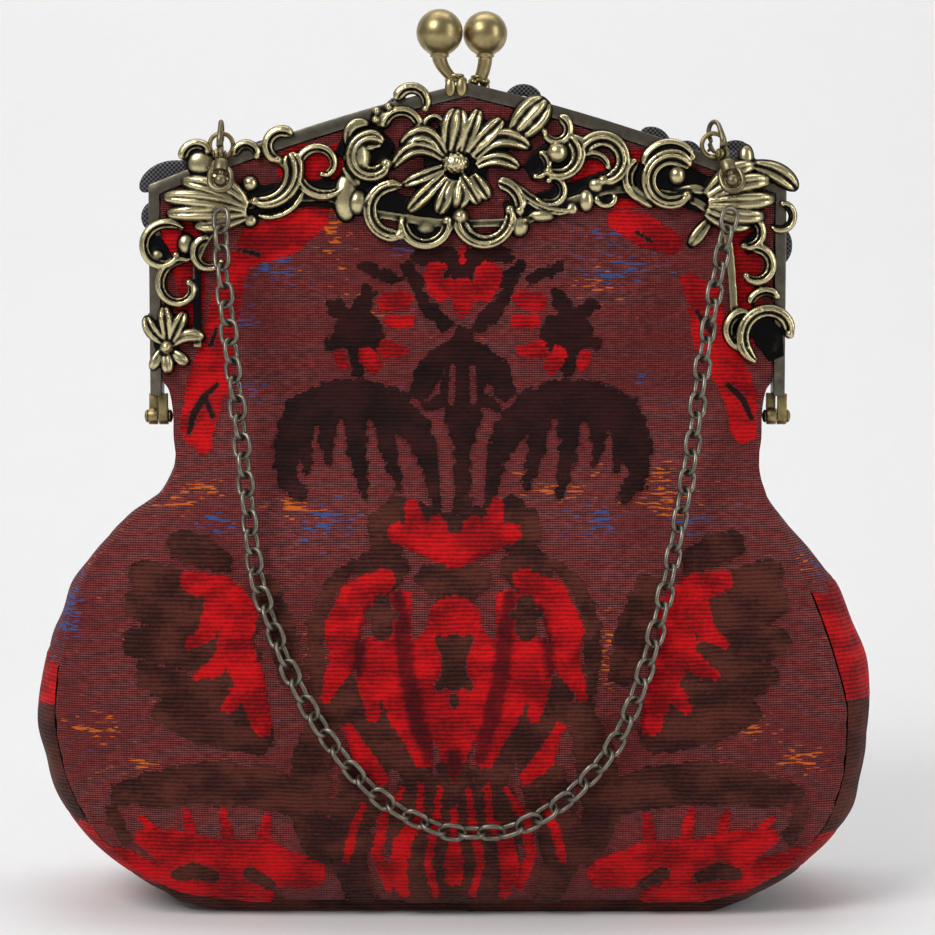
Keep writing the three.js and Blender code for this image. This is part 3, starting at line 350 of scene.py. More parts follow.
RED_TOP = [
    [(436, 276, 14), (441, 290, 13)],
    [(462, 290, 12), (462, 306, 10), (462, 318, 3)],
    [(386, 303, 10), (402, 300, 10)],
    [(390, 322, 7), (408, 322, 7)],
    [(386, 350, 10), (402, 352, 6)],
    [(366, 356, 9), (372, 366, 9)],
    [(338, 356, 6), (342, 366, 6)],
    [(462, 250, 4), (462, 262, 3)],
]
BROWN_LOW = [
    [(398, 500, 9), (384, 520, 16), (388, 545, 16), (368, 562, 12)],
    [(400, 512, 16), (430, 520, 18), (454, 530, 16)],
    [(392, 560, 18), (370, 585, 13)],
    [(430, 570, 14), (454, 578, 20), (454, 596, 18)],
    [(356, 556, 6), (332, 580, 8), (320, 612, 9), (320, 650, 9), (328, 690, 10)],
    [(346, 668, 12), (358, 700, 16), (366, 718, 12)],
    [(384, 640, 12), (392, 700, 16), (410, 742, 18)],
    [(384, 720, 14), (366, 770, 24), (352, 810, 22), (350, 850, 18), (362, 890, 14)],
    [(454, 730, 12), (454, 765, 20), (454, 800, 24), (454, 840, 26), (454, 885, 26)],
    [(420, 760, 16), (412, 800, 26), (418, 850, 26), (420, 885, 20)],
    [(330, 700, 14), (318, 740, 20), (310, 790, 20), (322, 840, 14)],
]
RED_LOW = [
    [(398, 528, 10), (425, 535, 14), (454, 545, 16)],
    [(412, 502, 7), (418, 528, 12)],
    [(436, 520, 9), (444, 545, 12)],
    [(386, 572, 11), (360, 588, 17), (346, 618, 18), (348, 645, 15), (336, 668, 9), (330, 684, 5)],
    [(352, 712, 5), (366, 742, 10), (384, 762, 7)],
    [(402, 592, 12), (394, 620, 19), (398, 660, 23), (412, 700, 21), (424, 742, 10)],
    [(454, 612, 26), (454, 650, 42), (454, 690, 36), (454, 735, 15), (454, 762, 3)],
    [(372, 640, 15), (372, 670, 12), (376, 700, 7)],
    [(404, 772, 3), (386, 800, 5), (378, 840, 6), (390, 878, 5)],
    [(422, 768, 3), (420, 800, 4), (404, 826, 9), (398, 858, 10), (404, 884, 6)],
    [(440, 772, 3), (436, 806, 4), (428, 850, 4), (436, 884, 4)],
    [(454, 790, 3), (454, 826, 5), (454, 846, 10), (454, 866, 9)],
    [(366, 788, 3), (356, 812, 5), (348, 846, 4)],
]
SHADED_LOW = [
    [(400, 588, 6), (404, 620, 8), (408, 660, 9), (418, 704, 9), (430, 740, 7)],
    [(372, 600, 5), (364, 630, 6), (360, 660, 5)],
    [(454, 740, 8), (454, 762, 6)],
]
BROWN_IN_RED = [
    [(384, 594, 9), (384, 618, 11)],
    [(372, 604, 5), (396, 604, 5)],
    [(454, 634, 11), (454, 664, 13)],
    [(440, 628, 5), (446, 640, 5)],
    [(440, 672, 5), (447, 662, 5)],
    [(454, 684, 5), (454, 688, 5)],
    [(454, 266, 3), (462, 276, 4)],
]
BROWN_SIDE = [
    [(186, 540, 14), (206, 545, 16), (226, 556, 12)],
    [(150, 570, 16), (176, 578, 18)],
    [(146, 596, 16), (185, 606, 20), (240, 612, 26)],
    [(146, 632, 16), (190, 640, 20), (244, 650, 24)],
    [(156, 664, 14), (196, 680, 18), (250, 690, 20)],
    [(172, 700, 13), (210, 716, 16), (262, 722, 18)],
    [(270, 580, 14), (286, 620, 16), (296, 660, 14)],
    [(128, 782, 12), (160, 776, 18), (210, 768, 22), (270, 772, 22), (320, 790, 16)],
    [(118, 800, 8), (130, 826, 8)],
]
RED_SIDE = [
    [(196, 574, 10), (226, 582, 15), (248, 604, 16), (240, 632, 17), (256, 668, 15), (268, 712, 10)],
    [(222, 600, 12), (214, 622, 10), (196, 634, 5)],
    [(236, 640, 12), (222, 656, 9), (204, 664, 4)],
    [(246, 680, 10), (234, 694, 6)],
    [(150, 826, 10), (178, 838, 22), (220, 850, 26), (268, 852, 26), (310, 862, 18)],
    [(160, 818, 5), (148, 806, 4)],
    [(196, 816, 6), (192, 798, 4)],
    [(232, 820, 7), (228, 796, 4)],
    [(268, 824, 7), (272, 800, 4)],
    [(120, 842, 7), (150, 862, 14), (200, 880, 16), (260, 888, 16)],
]
BROWN_FLOWER = [
    [(182, 864, 7), (198, 860, 10), (216, 866, 7)],
    [(254, 862, 8), (272, 874, 6)],
    [(148, 576, 2.5), (163, 584, 2.5)],
]
RED_CORNER = [
    [(314, 218, 14), (286, 236, 20), (256, 244, 20), (238, 262, 12)],
    [(236, 262, 12), (224, 300, 15), (216, 345, 18), (204, 390, 22), (196, 428, 18), (204, 446, 9)],
    [(300, 168, 24), (320, 190, 22), (340, 160, 18)],
    [(180, 235, 22), (190, 290, 14), (184, 330, 14)],
]
BROWN_CORNER = [
    [(214, 386, 2.5), (202, 398, 4), (192, 416, 4), (188, 434, 3)],
    [(204, 404, 3), (212, 418, 3)],
    [(236, 250, 2), (256, 255, 3)],
    [(214, 330, 2), (208, 346, 3)],
]
RED_CORNER_RIGHT = [
    [(620, 220, 12), (646, 232, 17), (672, 244, 12)],
    [(690, 282, 9), (706, 300, 17), (712, 336, 19), (728, 366, 18), (742, 396, 18), (744, 430, 14)],
    [(590, 176, 20), (630, 186, 24), (640, 165, 16)],
    [(745, 240, 18), (748, 290, 16), (752, 330, 16)],
]
BROWN_CORNER_RIGHT = [
    [(698, 312, 2.5), (706, 324, 4), (716, 336, 3)],
    [(730, 386, 3), (744, 400, 4), (752, 420, 3)],
    [(636, 232, 2), (652, 242, 2.5)],
]
GROUND_SLITS = [
    [(452, 368, 2.5), (451, 402, 3)],
    [(440, 440, 3), (444, 500, 3)],
]
# Loose floats of coloured weft: x, y, half width, half height
ORANGE = [
    (100, 716, 34, 18), (360, 312, 26, 26), (330, 230, 20, 34), (210, 486, 34, 14), (298, 502, 30, 14),
    (560, 486, 34, 12), (660, 486, 36, 30), (740, 712, 34, 18), (800, 748, 34, 16), (520, 480, 10, 26),
    (600, 288, 24, 24), (180, 500, 24, 12), (320, 640, 12, 40), (600, 640, 12, 40), (150, 752, 26, 8),
]
BLUE = [
    (266, 268, 40, 22), (620, 268, 46, 22), (330, 520, 36, 20), (590, 516, 34, 20), (236, 320, 22, 12),
    (400, 250, 20, 10), (600, 236, 30, 12), (222, 520, 30, 14), (690, 520, 30, 14), (80, 600, 16, 40),
    (250, 390, 16, 12), (650, 380, 16, 12),
]


def mirrored(strokes, axis):
    return [[(2 * axis - x, y, wide) for x, y, wide in stroke] for stroke in strokes]


def cover(strokes, x, y):
    """How far each point lies inside the strokes, in pixels, less than 0 outside."""
    best = np.full(x.shape, -1e3)
    for stroke in strokes:
        for (ax, ay, aw), (bx, by, bw) in zip(stroke, stroke[1:]):
            dx, dy = bx - ax, by - ay
            t = np.clip(((x - ax) * dx + (y - ay) * dy) / (dx * dx + dy * dy), 0, 1)
            gap = np.hypot(x - ax - t * dx, y - ay - t * dy)
            best = np.maximum(best, aw + (bw - aw) * t - gap)
    return best


def clusters(spots, x, y):
    best = np.zeros(x.shape)
    for cx, cy, rx, ry in spots:
        best = np.maximum(best, np.exp(-(((x - cx) / rx) ** 2) - ((y - cy) / ry) ** 2))
    return best


def pattern(x, z):
    """Attributes of the woven pattern at points seen from the front, in millimetres."""
    px = x / PIXEL + MIDDLE_PIXEL
    py = FLOOR_PIXEL - z / PIXEL
    wave = 2.2 * ripple(px, py, 15, 3) + 1.2 * ripple(px, py, 6, 8)
    brown = cover(
        [*BROWN_TOP, *mirrored(BROWN_TOP, TOP_AXIS), *BROWN_LOW, *mirrored(BROWN_LOW, LOW_AXIS),
         *BROWN_SIDE, *mirrored(BROWN_SIDE, SIDE_AXIS)], px, py) + wave
    red = cover(
        [*RED_TOP, *mirrored(RED_TOP, TOP_AXIS), *RED_LOW, *mirrored(RED_LOW, LOW_AXIS),
         *RED_SIDE, *mirrored(RED_SIDE, SIDE_AXIS), *RED_CORNER, *RED_CORNER_RIGHT], px, py)
    red = red + 1.6 * ripple(px, py, 9, 5) + 0.8 * ripple(px, py, 4, 2)
    over = cover(
        [*BROWN_IN_RED, *mirrored(BROWN_IN_RED, LOW_AXIS), *BROWN_FLOWER, *mirrored(BROWN_FLOWER, SIDE_AXIS),
         *BROWN_CORNER, *BROWN_CORNER_RIGHT], px, py) + 0.8 * ripple(px, py, 5, 4)
    shaded = cover([*SHADED_LOW, *mirrored(SHADED_LOW, LOW_AXIS)], px, py) + 1.5 * ripple(px, py, 8, 10)
    slits = cover([*GROUND_SLITS, *mirrored(GROUND_SLITS, TOP_AXIS)], px, py)
    brown = np.minimum(brown, -slits)
    red = np.minimum(red, -over)
    dark = np.clip((520 - py) / 40, 0, 1)
    return {
        "red": red * PIXEL,
        "brown": np.maximum(brown, over) * PIXEL,
        "dark": dark,
        "shaded": np.clip(shaded / 4 + 0.5, 0, 1),
        "orange": clusters(ORANGE, px, py),
        "blue": clusters(BLUE, px, py),
    }


def pile_height(values):
    inside = np.maximum(values["red"], values["brown"])
    rise = np.clip(inside / 0.8 + 0.4, 0, 1)
    line = 1 - 0.35 * np.exp(-((values["red"] / 0.6) ** 2)) * (values["brown"] > 0)
    return PILE * rise * rise * (3 - 2 * rise) * line


def grid_normals(points):
    across = np.gradient(points, axis=1)
    along = np.gradient(points, axis=0)
    normal = np.cross(across, along)
    return normal / np.maximum(np.linalg.norm(normal, axis=2), 1e-9)[..., None]


def make_panel(name, side, rows, columns, material):
    """A panel of the bag with its pile raised, and its edge turned in at the seam."""
    grid = panel_grid(rows, columns)
    x, z, depth = grid[..., 0], grid[..., 1], grid[..., 2]
    values = pattern(x.ravel(), z.ravel())
    below = np.clip((HINGE_HEIGHT + 10 - z) / 20, 0, 1)
    slack = 0.35 * ripple(x, z * 0.6, 26, 6) + 0.2 * ripple(x, z, 12, 9)
    across = np.abs(np.linspace(-1, 1, columns))[None, :]
    seam = np.clip((across - 0.88) / 0.12, 0, 1) * np.clip((HINGE_HEIGHT - 12 - z) / 8, 0, 1)
    gather = seam * (0.7 * ripple(x * 0.3, z, 6, 12) - 0.5)
    surface = np.stack([x, -(depth + slack * below + gather), z], 2)
    normal = grid_normals(surface)
    free = np.clip((RELIEF_BASE + 1.2 - depth) / 1.2, 0, 1)
    tufts = 1 + 0.22 * ripple(x, z, 3.4, 14)
    height = pile_height(values).reshape(x.shape) * (1 - 0.75 * free) * tufts
    surface = surface + normal * height[..., None]
    points = surface.reshape(-1, 3)
    faces = [tuple(f) for f in grid_faces(rows, columns)]
    edge = (
        [i * columns for i in range(rows - 1, -1, -1)]
        + list(range(1, columns))
        + [i * columns + columns - 1 for i in range(1, rows)]
    )
    lip = points[edge].copy()
    lip[:, 1] += CLOTH + 0.6
    lip[:, 0] *= 0.992
    start = len(points)
    points = np.vstack([points, lip])
    for k in range(len(edge) - 1):
        faces.append((edge[k + 1], edge[k], start + k, start + k + 1))
    for key in values:
        values[key] = np.concatenate([values[key], values[key][edge]])
    if side > 0:
        points = points * [1, -1, 1]
        faces = [tuple(reversed(face)) for face in faces]
    return mesh_object(name, points, faces, material, values)


def make_gusset(material, rows=420, columns=56):
    """The strip round the bag, swelling past its seams."""

    def station(row, reach, swell):
        """The seam at a section: x, z, half the depth, and the swell past it."""
        return reach * HALF_WIDTH, row[0] * HINGE_HEIGHT, row[3] * HALF_DEPTH, swell * GUSSET_SWELL

    sides = [row for row in SECTIONS if row[0] <= GUSSET_TOP]
    left = [station(row, -row[1], row[5]) for row in sides][::-1]
    right = [station(row, row[2], row[6]) for row in sides]
    floor = [
        (left[-1][0] + (right[0][0] - left[-1][0]) * share, left[-1][1], left[-1][2], SEAM_HEIGHT)
        for share in (0.15, 0.5, 0.85)
    ]
    path = np.array([*left, *floor, *right])
    length = np.concatenate([[0], np.cumsum(np.hypot(*np.diff(path[:, :2], axis=0).T))])
    line = smooth_table(length, path, np.linspace(0, length[-1], rows))
    along = np.gradient(line[:, :2], axis=0)
    along /= np.linalg.norm(along, axis=1)[:, None]
    out = np.stack([-along[:, 1], along[:, 0]], 1)
    out = -out if out[rows // 2][1] > 0 else out
    across = np.linspace(-1, 1, columns)
    profile = np.interp(np.abs(across), [0, 0.45, 0.66, 0.84, 0.94, 1], [1, 0.99, 0.85, 0.55, 0.26, 0])
    pressed = np.interp(np.abs(across), [0, 0.84, 0.93, 1], [1, 1, 0.55, 0])
    floor_share = np.clip((-out[:, 1] - 0.9) / 0.1, 0, 1)[:, None]
    half = line[:, 2] - CLOTH - CLEARANCE
    reach = line[:, 3][:, None] * (profile[None, :] * (1 - floor_share) + pressed[None, :] * floor_share)
    y = half[:, None] * across[None, :]
    x = line[:, 0][:, None] + out[:, 0][:, None] * reach
    z = line[:, 1][:, None] + out[:, 1][:, None] * reach
    pucker = 0.45 * ripple(y * 0.5, z + x * 0.4, 17, 7) * profile[None, :] * np.clip(z / 12, 0, 1)
    x = x + out[:, 0][:, None] * pucker
    z = np.maximum(z + out[:, 1][:, None] * pucker, 0.0)
    lean = 3 * ripple(y, z, 30, 5)
    on_left = x < 0
    bands_left = np.maximum(7 - np.abs(z + lean - 60), 9 - np.abs(z + lean - 17))
    bands_right = np.maximum(15 - np.abs(z + lean - 70), 6 - np.abs(z + lean - 16))
    red = np.where(on_left, bands_left, bands_right) + 1.2 * ripple(y, z, 5, 3)
    brown = np.where(on_left, 26 - np.abs(z + lean - 28), 40 - np.abs(z + lean - 40))
    brown = brown + 1.5 * ripple(y, z, 7, 6)
    values = {
        "red": red,
        "brown": brown,
        "dark": np.zeros_like(z),
        "shaded": np.zeros_like(z),
        "orange": np.clip(0.7 * ripple(y, z, 24, 2), 0, 1),
        "blue": np.where(on_left, np.exp(-(((z - 78) / 14) ** 2)), np.clip(0.7 * ripple(y, z, 26, 11), 0, 1)),
    }
    height = pile_height(values) * 0.7
    x = x + out[:, 0][:, None] * height
    z = np.maximum(z + out[:, 1][:, None] * height, 0.0)
    points = np.stack([x, y, z], 2).reshape(-1, 3)
    obj = mesh_object("gusset_cloth", points, grid_faces(rows, columns), material,
                      {k: v.ravel() for k, v in values.items()})
    middle = obj.data.polygons[(rows // 2) * (columns - 1) + columns // 2]
    if middle.normal.z > 0:
        obj.data.flip_normals()
    return obj


# The castings: the solids' chart, with a few more small pieces and the flat ground behind them

# x, up, to x, to up, bend, width, rise, ribs
LEAVES = [
    (-17, 258, -9, 302, 0, 25, 3.4, 3), (-4, 257, 12, 301, 0, 16, 3, 2), (2, 255, 36, 291, 0, 18, 3.2, 2),
    (7, 250, 64, 260, 0.28, 18, 3.2, 2), (9, 243, 53, 240, 0.2, 14, 3, 2),
    (5, 235, 22, 209, 0, 15, 2.8, 2), (-6, 234, 12, 204, 0, 14, 3, 2), (-8, 229, -12, 200, 0, 25, 3.2, 3),
    (-15, 230, -30, 194, 0, 16, 3, 2), (-22, 235, -61, 197, 0, 15, 3.2, 2),
    (-20, 243, -66, 224, 0, 13, 2.8, 2), (-22, 249, -76, 240, -0.3, 14, 3.2, 2),
    (-23, 254, -68, 263, -0.36, 16, 3.2, 2), (-124, 243, -108, 222, 0, 11, 2, 1),
    (45, 272, 80, 310, 0, 29, 2.8, 3), (158, 224, 188, 202, 0, 11, 2.4, 1),
    (245, 192, 222, 162, 0, 12, 1.8, 1), (-221, 223, -236, 194, 0, 10, 2, 1),
    (210, 218, 243, 216, 0.1, 9, 1.8, 1), (-192, 252, -176, 240, 0, 9, 1.8, 1),
    (-120, 263, -96, 285, 0.35, 10, 2, 1), (240, 214, 290, 244, 0.12, 15, 3.4, 1),
    (241, 211, 305, 228, 0.08, 16, 4, 1), (241, 206, 310, 210, 0, 16, 4.2, 1),
    (240, 201, 300, 194, -0.06, 15, 3.8, 1), (239, 197, 286, 184, -0.1, 13, 3, 1),
    (286, 244, 331, 219, 0.1, 17, 2.2, 2), (-221, 205, -262, 234, -0.08, 14, 3.4, 1),
    (-221, 203, -288, 228, -0.08, 16, 4, 1), (-221, 200, -307, 212, -0.04, 16, 4.2, 1),
    (-221, 197, -304, 196, 0, 15, 3.8, 1), (-222, 193, -276, 184, 0.06, 13, 3, 1),
    (-304, 66, -324, 94, 0.1, 13, 2.6, 2), (-302, 70, -305, 104, 0, 14, 2.8, 2),
    (-298, 68, -284, 99, 0, 13, 2.6, 2), (-297, 64, -264, 70, 0.2, 12, 2.4, 1),
    (-298, 58, -281, 44, 0, 11, 2.2, 1), (-304, 58, -301, 34, 0, 11, 2.4, 1),
    (-308, 60, -319, 38, 0, 10, 2.2, 1),
]
# x, up, radius, to radius, from, to, width, to width, rise
SCROLLS = [
    (-56, 306, 15, 15, 170, -23, 9, 7, 3), (-66, 280, 18, 18, 175, 10, 8, 8, 2.6),
    (-96, 252, 17, 16, 50, 335, 17, 11, 4), (-73, 199, 25, 25, 73, 283, 10, 11, 3),
    (-42, 188, 23, 22, 172, 362, 9, 9, 2.6), (17, 193, 25, 26, 180, 375, 13, 9, 3),
    (29, 203, 24, 24, 88, -10, 11, 9, 2.8), (98, 265, 65, 65, 213, 276, 8, 11, 2.4),
    (84, 221, 17, 8, 215, 470, 8, 6, 2.4), (68, 245, 12, 12, 75, -90, 8, 6, 2.2),
    (91, 255, 20, 20, 58, -120, 13, 9, 3), (89, 280, 12, 12, 80, -165, 9, 6, 2.6),
    (135, 249, 22, 20, 165, -88, 13, 10, 3), (204, 229, 23, 22, 35, 315, 14, 10, 3.4),
    (203, 239, 27, 26, 168, 30, 9, 7, 2.8), (181, 233, 19, 23, 125, 268, 10, 8, 2.4),
    (314, 193, 13, 13, 225, 440, 6, 6, 2), (281, 177, 14, 14, 140, -105, 9, 7, 2.6),
    (289, 143, 19, 13, 112, -135, 9, 7, 2.6), (280, 79, 18, 18, 85, 275, 9, 7, 2.4),
    (305, 75, 31, 19, 243, 0, 11, 9, 3), (300, 102, 16, 16, 168, 45, 8, 7, 2.2),
    (-147, 243, 31, 8, 322, -80, 9, 6, 2.8), (-205, 238, 31, 31, 34, -105, 18, 9, 3.4),
    (-199, 230, 37, 35, -108, -4, 6, 6, 2), (-186, 263, 15, 14, 45, 255, 9, 8, 2.8),
    (-222, 254, 11, 11, 185, -5, 7, 7, 2.4), (-271, 251, 14, 14, 185, 35, 9, 7, 2.6),
    (-304, 161, 27, 13, 45, 330, 8, 7, 2.8), (-259, 156, 15, 14, 97, 325, 9, 6, 2.6),
    (-288, 123, 27, 9, 72, 386, 8, 7, 2.6), (-32, 284, 12, 6, 250, 10, 6, 5, 2.2),
    (139, 214, 9, 9, 185, 345, 7, 6, 2), (126, 240, 15, 15, 190, 10, 7, 6, 2.2),
]
# x, up, half length, half height, rise
BUDS = [
    (-12, 246, 15, 12, 4.6), (-86, 291, 12, 12, 2.2), (-110, 252, 15, 22, 3.8), (-122, 212, 14, 26, 2.6),
    (-110, 207, 12, 14, 3), (-41, 184, 15, 11, 1.6), (-7, 193, 9, 9, 3.4), (52, 184, 11, 13, 2.6),
    (75, 194, 15, 8, 2.4), (90, 257, 12, 12, 3.6), (119, 209, 9, 13, 2.6), (129, 224, 10, 9, 2.4),
    (210, 234, 10, 11, 3), (279, 251, 9, 15, 2.4), (-218, 226, 9, 9, 2.6), (-218, 189, 8, 8, 2),
    (-267, 246, 16, 15, 2.2), (-312, 153, 9, 9, 1.8), (-283, 165, 10, 12, 2), (-303, 62, 8, 8, 3.4),
    (-91, 298, 5, 5, 3), (-79, 302, 5, 5, 3), (-92, 289, 5, 5, 3), (-43, 280, 4, 4, 3),
    (-122, 251, 4, 4, 2.4), (113, 270, 4, 4, 2.6), (58, 189, 4, 4, 3.2),
]
# The flat ground of the casting behind its relief: x, up, width
PLATES = [
    [(-262, 204, 26), (-225, 207, 30), (-185, 214, 26), (-150, 216, 26), (-120, 214, 30)],
    [(-125, 250, 20), (-112, 262, 34), (-92, 262, 38), (-76, 256, 18)],
    [(-112, 216, 26), (-78, 204, 28), (-40, 196, 22), (0, 190, 16)],
    [(-40, 230, 40), (-12, 236, 56), (20, 234, 40)],
    [(36, 200, 16), (70, 204, 26), (105, 214, 26), (150, 226, 30), (200, 226, 44), (240, 214, 36)],
    [(60, 236, 18), (86, 252, 34), (100, 262, 30), (118, 252, 20)],
    [(280, 172, 18), (290, 160, 20)],
    [(288, 88, 22), (302, 74, 30), (312, 50, 16)],
    [(-312, 84, 18), (-304, 66, 26), (-300, 46, 18)],
    [(-316, 172, 14), (-310, 156, 22), (-300, 146, 14)],
]
INNER_RAIL = [
    (-272, 62), (-272, 145), (-250, 185), (-215, 205), (-147, 212), (-87, 195), (-7, 186), (53, 188),
    (93, 205), (153, 220), (223, 210), (261, 172), (269, 90),
]


def chart(x, up):
    return np.array([x * PIXEL, HINGE_HEIGHT + CHART_RISE + up * PIXEL])


def relief(line, half, crest, profile):
    """A shell of relief along a line of x and z, with a flat back and a shaped front."""
    along = np.gradient(line, axis=0)
    along /= np.linalg.norm(along, axis=1)[:, None]
    side = np.stack([-along[:, 1], along[:, 0]], 1)
    v = np.linspace(-1, 1, len(profile))
    rings = []
    for point, out, wide, high in zip(line, side, half, crest):
        ring = [(*(point + out * wide * k), high * p) for k, p in zip(v, profile)]
        ring += [(*(point + out * wide), -0.6), (*(point - out * wide), -0.6)]
        rings.append([(a, -(RELIEF_BASE + h), b) for a, b, h in ring])
    return loft(rings)


def leaf(x, up, to_x, to_up, bend, wide, rise, ribs):
    start, end = chart(x, up), chart(to_x, to_up)
    across = np.array([start[1] - end[1], end[0] - start[0]])
    u = np.linspace(0, 1, 18)
    line = start + (end - start) * u[:, None] + across * (4 * u * (1 - u) * bend)[:, None]
    swell = np.where(u < 0.55, 0.55 + 0.45 * np.sin(u / 0.55 * math.pi / 2),
                     np.sqrt(np.maximum(1 - ((u - 0.55) / 0.46) ** 2, 0.01)))
    crest = rise * (0.62 + 0.38 * np.sin(np.minimum(u / 0.75, 1) * math.pi / 2)) * np.sqrt(1.02 - u**6)
    v = np.linspace(-1, 1, 15)
    body = np.sqrt(np.maximum(1 - np.abs(v) ** 3, 0)) * 0.8 + 0.2
    if ribs > 1:
        profile = body * (0.78 + 0.3 * (0.5 - 0.5 * np.cos(math.pi * (v + 1) * ribs)))
    else:
        profile = body * (1 - 0.12 * np.exp(-((v / 0.25) ** 2)))
    return relief(line, wide * PIXEL / 2 * swell * 1.3, crest * 1.1, profile)


def scroll(x, up, radius, to_radius, start, end, wide, to_wide, rise):
    count = max(int(abs(end - start) / 9), 6)
    u = np.linspace(0, 1, count)
    turn = np.radians(start + (end - start) * u)
    reach = radius + (to_radius - radius) * u
    line = np.stack([x + reach * np.cos(turn), up + reach * np.sin(turn)], 1)
    line = np.array([chart(*p) for p in line])
    swell = np.minimum(np.minimum(u * 5 + 0.45, 1), (1 - u) * 5 + 0.6)
    half = (wide + (to_wide - wide) * u) * PIXEL / 2 * swell * 1.5
    v = np.linspace(-1, 1, 17)
    inner = 1 if end > start else -1
    hollow = 0.34 * np.exp(-(((v - 0.3 * inner) / 0.2) ** 2))
    hollow = hollow + 0.22 * np.exp(-(((v + 0.45 * inner) / 0.14) ** 2))
    profile = np.sqrt(np.maximum(1 - np.abs(v) ** 2.6, 0)) * (0.86 - 0.2 * v * inner) - hollow
    shells = [relief(line, half, rise * 1.15 * (0.7 + 0.3 * swell), np.maximum(profile, 0.02))]
    tip = line[-1]
    knob = half[-1] * 1.25
    shells.append(ball((tip[0], -(RELIEF_BASE + rise * 0.45), tip[1]), (knob, rise * 0.5, knob), 14, 9))
    return shells


def bud(x, up, long, tall, rise):
    px, pz = chart(x, up)
    return ball((px, -RELIEF_BASE, pz), (long * PIXEL, rise, tall * PIXEL), 18, 12)


def stamens():
    """The seeded middle of the flower."""
    shells = []
    for k in range(34):
        turn = k * 2.39996
        reach = math.sqrt((k + 0.5) / 34)
        px, pz = chart(-12 + 13 * reach * math.cos(turn), 246 + 10 * reach * math.sin(turn))
        top = RELIEF_BASE + 4.55 * math.sqrt(max(1 - (reach * 0.82) ** 2, 0.05))
        shells.append(ball((px, -top, pz), (0.5, 0.5, 0.5), 8, 6))
    return shells


def smooth_line(points, count=60):
    points = np.asarray(points, float)
    length = np.concatenate([[0], np.cumsum(np.linalg.norm(np.diff(points, axis=0), axis=1))])
    return smooth_table(length, points, np.linspace(0, length[-1], count))


def casting_shells():
    shells = [leaf(*row) for row in LEAVES]
    for row in SCROLLS:
        shells.extend(scroll(*row))
    shells.extend(bud(*row) for row in BUDS)
    shells.extend(stamens())
    for row in PLATES:
        plate = smooth_line([chart(x, up) for x, up, _ in row], 24)
        wide = np.interp(np.linspace(0, 1, 24), np.linspace(0, 1, len(row)), [w for _, _, w in row])
        shells.append(relief(plate, wide * PIXEL / 2, np.full(24, 0.7), np.full(9, 1.0)))
    line = smooth_line([chart(*p) for p in INNER_RAIL], 90)
    shells.append(relief(line, np.full(90, 1.05), np.full(90, 1.5), np.full(7, 1.0)))
    return shells


def wear_and_side_shade(mesh, points):
    """How bright each point of the casting is: rubbed crests bright, hollows and the flat ground dark with
    patina, and painted shade on the sides of the relief that turn away from the front.
    """
    edges = np.zeros(len(mesh.edges) * 2, np.int32)
    mesh.edges.foreach_get("vertices", edges)
    a, b = edges.reshape(-1, 2).T
    normals = np.zeros(len(points) * 3, np.float32)
    mesh.vertices.foreach_get("normal", normals)
    normals = normals.reshape(-1, 3)
    count = np.bincount(np.concatenate([a, b]), minlength=len(points))[:, None]

    def mean_round(values):
        total = np.zeros_like(values)
        np.add.at(total, a, values[b])
        np.add.at(total, b, values[a])
        return total / np.maximum(count, 1)

    bulge = np.sum((points - mean_round(points)) * normals, axis=1)[:, None]
    for _ in range(3):
        bulge = 0.5 * bulge + 0.5 * mean_round(bulge)
    bulge = bulge[:, 0]
    # Painted shade: the sides of the relief, turned away from the front, are made darker.
    facing = np.clip(np.abs(normals[:, 1]), 0, 1)
    height = -points[:, 1] - RELIEF_BASE
    level = np.clip((height - 0.9) / 0.9, 0, 1)
    hollow, crest = np.percentile(bulge[level > 0.5], [12, 88])
    share = np.clip((bulge - hollow) / (crest - hollow), 0, 1)
    # Rubbed crests and patina in the hollows, times the painted shade of the sides.
    worn_and_shaded = (0.1 + 0.72 * share + 0.05 * height) * (0.4 + 0.6 * facing)
    return np.clip(worn_and_shaded * (0.25 + 0.75 * level), 0, 1)


def make_casting(material):
    points, faces = together(casting_shells())
    obj = outward(mesh_object("front_casting", points, faces, material))
    apply_modifier(obj, "REMESH", mode="VOXEL", voxel_size=CASTING_VOXEL * MM)
    apply_modifier(obj, "SMOOTH", factor=0.5, iterations=2)
    count = 2 * len(obj.data.polygons)
    apply_modifier(obj, "DECIMATE", ratio=min(CASTING_TRIANGLES / count, 1))
    mesh = obj.data
    mesh.shade_smooth()
    co = np.zeros(len(mesh.vertices) * 3, np.float32)
    mesh.vertices.foreach_get("co", co)
    co = co.reshape(-1, 3) / MM
    # The attribute stored here holds rubbed wear and patina, with painted shade on the sides of the relief.
    worn_and_shaded = wear_and_side_shade(mesh, co)
    inside = (co[:, 1] > -(RELIEF_BASE + 0.1)).astype(np.float32)
    for key, values in (("worn_and_shaded", worn_and_shaded), ("inside", inside)):
        layer = mesh.attributes.new(key, "FLOAT", "POINT")
        layer.data.foreach_set("value", np.asarray(values, np.float32))
    return obj


# Pieces modelled with Blender's operators


def named(name, material):
    """The piece just added, with its place in its mesh."""
    obj = bpy.context.object
    obj.name = name
    obj.data.name = name
    bpy.ops.object.transform_apply(location=True, rotation=True, scale=True)
    obj.data.materials.append(material)
    bpy.ops.object.shade_smooth()
    return obj


def add_ball(name, centre, radius, material, shape=(1, 1, 1), segments=40):
    bpy.ops.object.select_all(action="DESELECT")
    bpy.ops.mesh.primitive_uv_sphere_add(
        segments=segments, ring_count=segments // 2, radius=radius * MM, location=Vector(centre) * MM)
    bpy.context.object.scale = shape
    return named(name, material)


def add_cylinder(name, start, end, radius, material, vertices=32):
    start, end = Vector(start) * MM, Vector(end) * MM
    turn = (end - start).to_track_quat("Z", "Y").to_euler()
    bpy.ops.object.select_all(action="DESELECT")
    bpy.ops.mesh.primitive_cylinder_add(
        vertices=vertices, radius=radius * MM, depth=(end - start).length,
        location=(start + end) / 2, rotation=turn)
    return named(name, material)


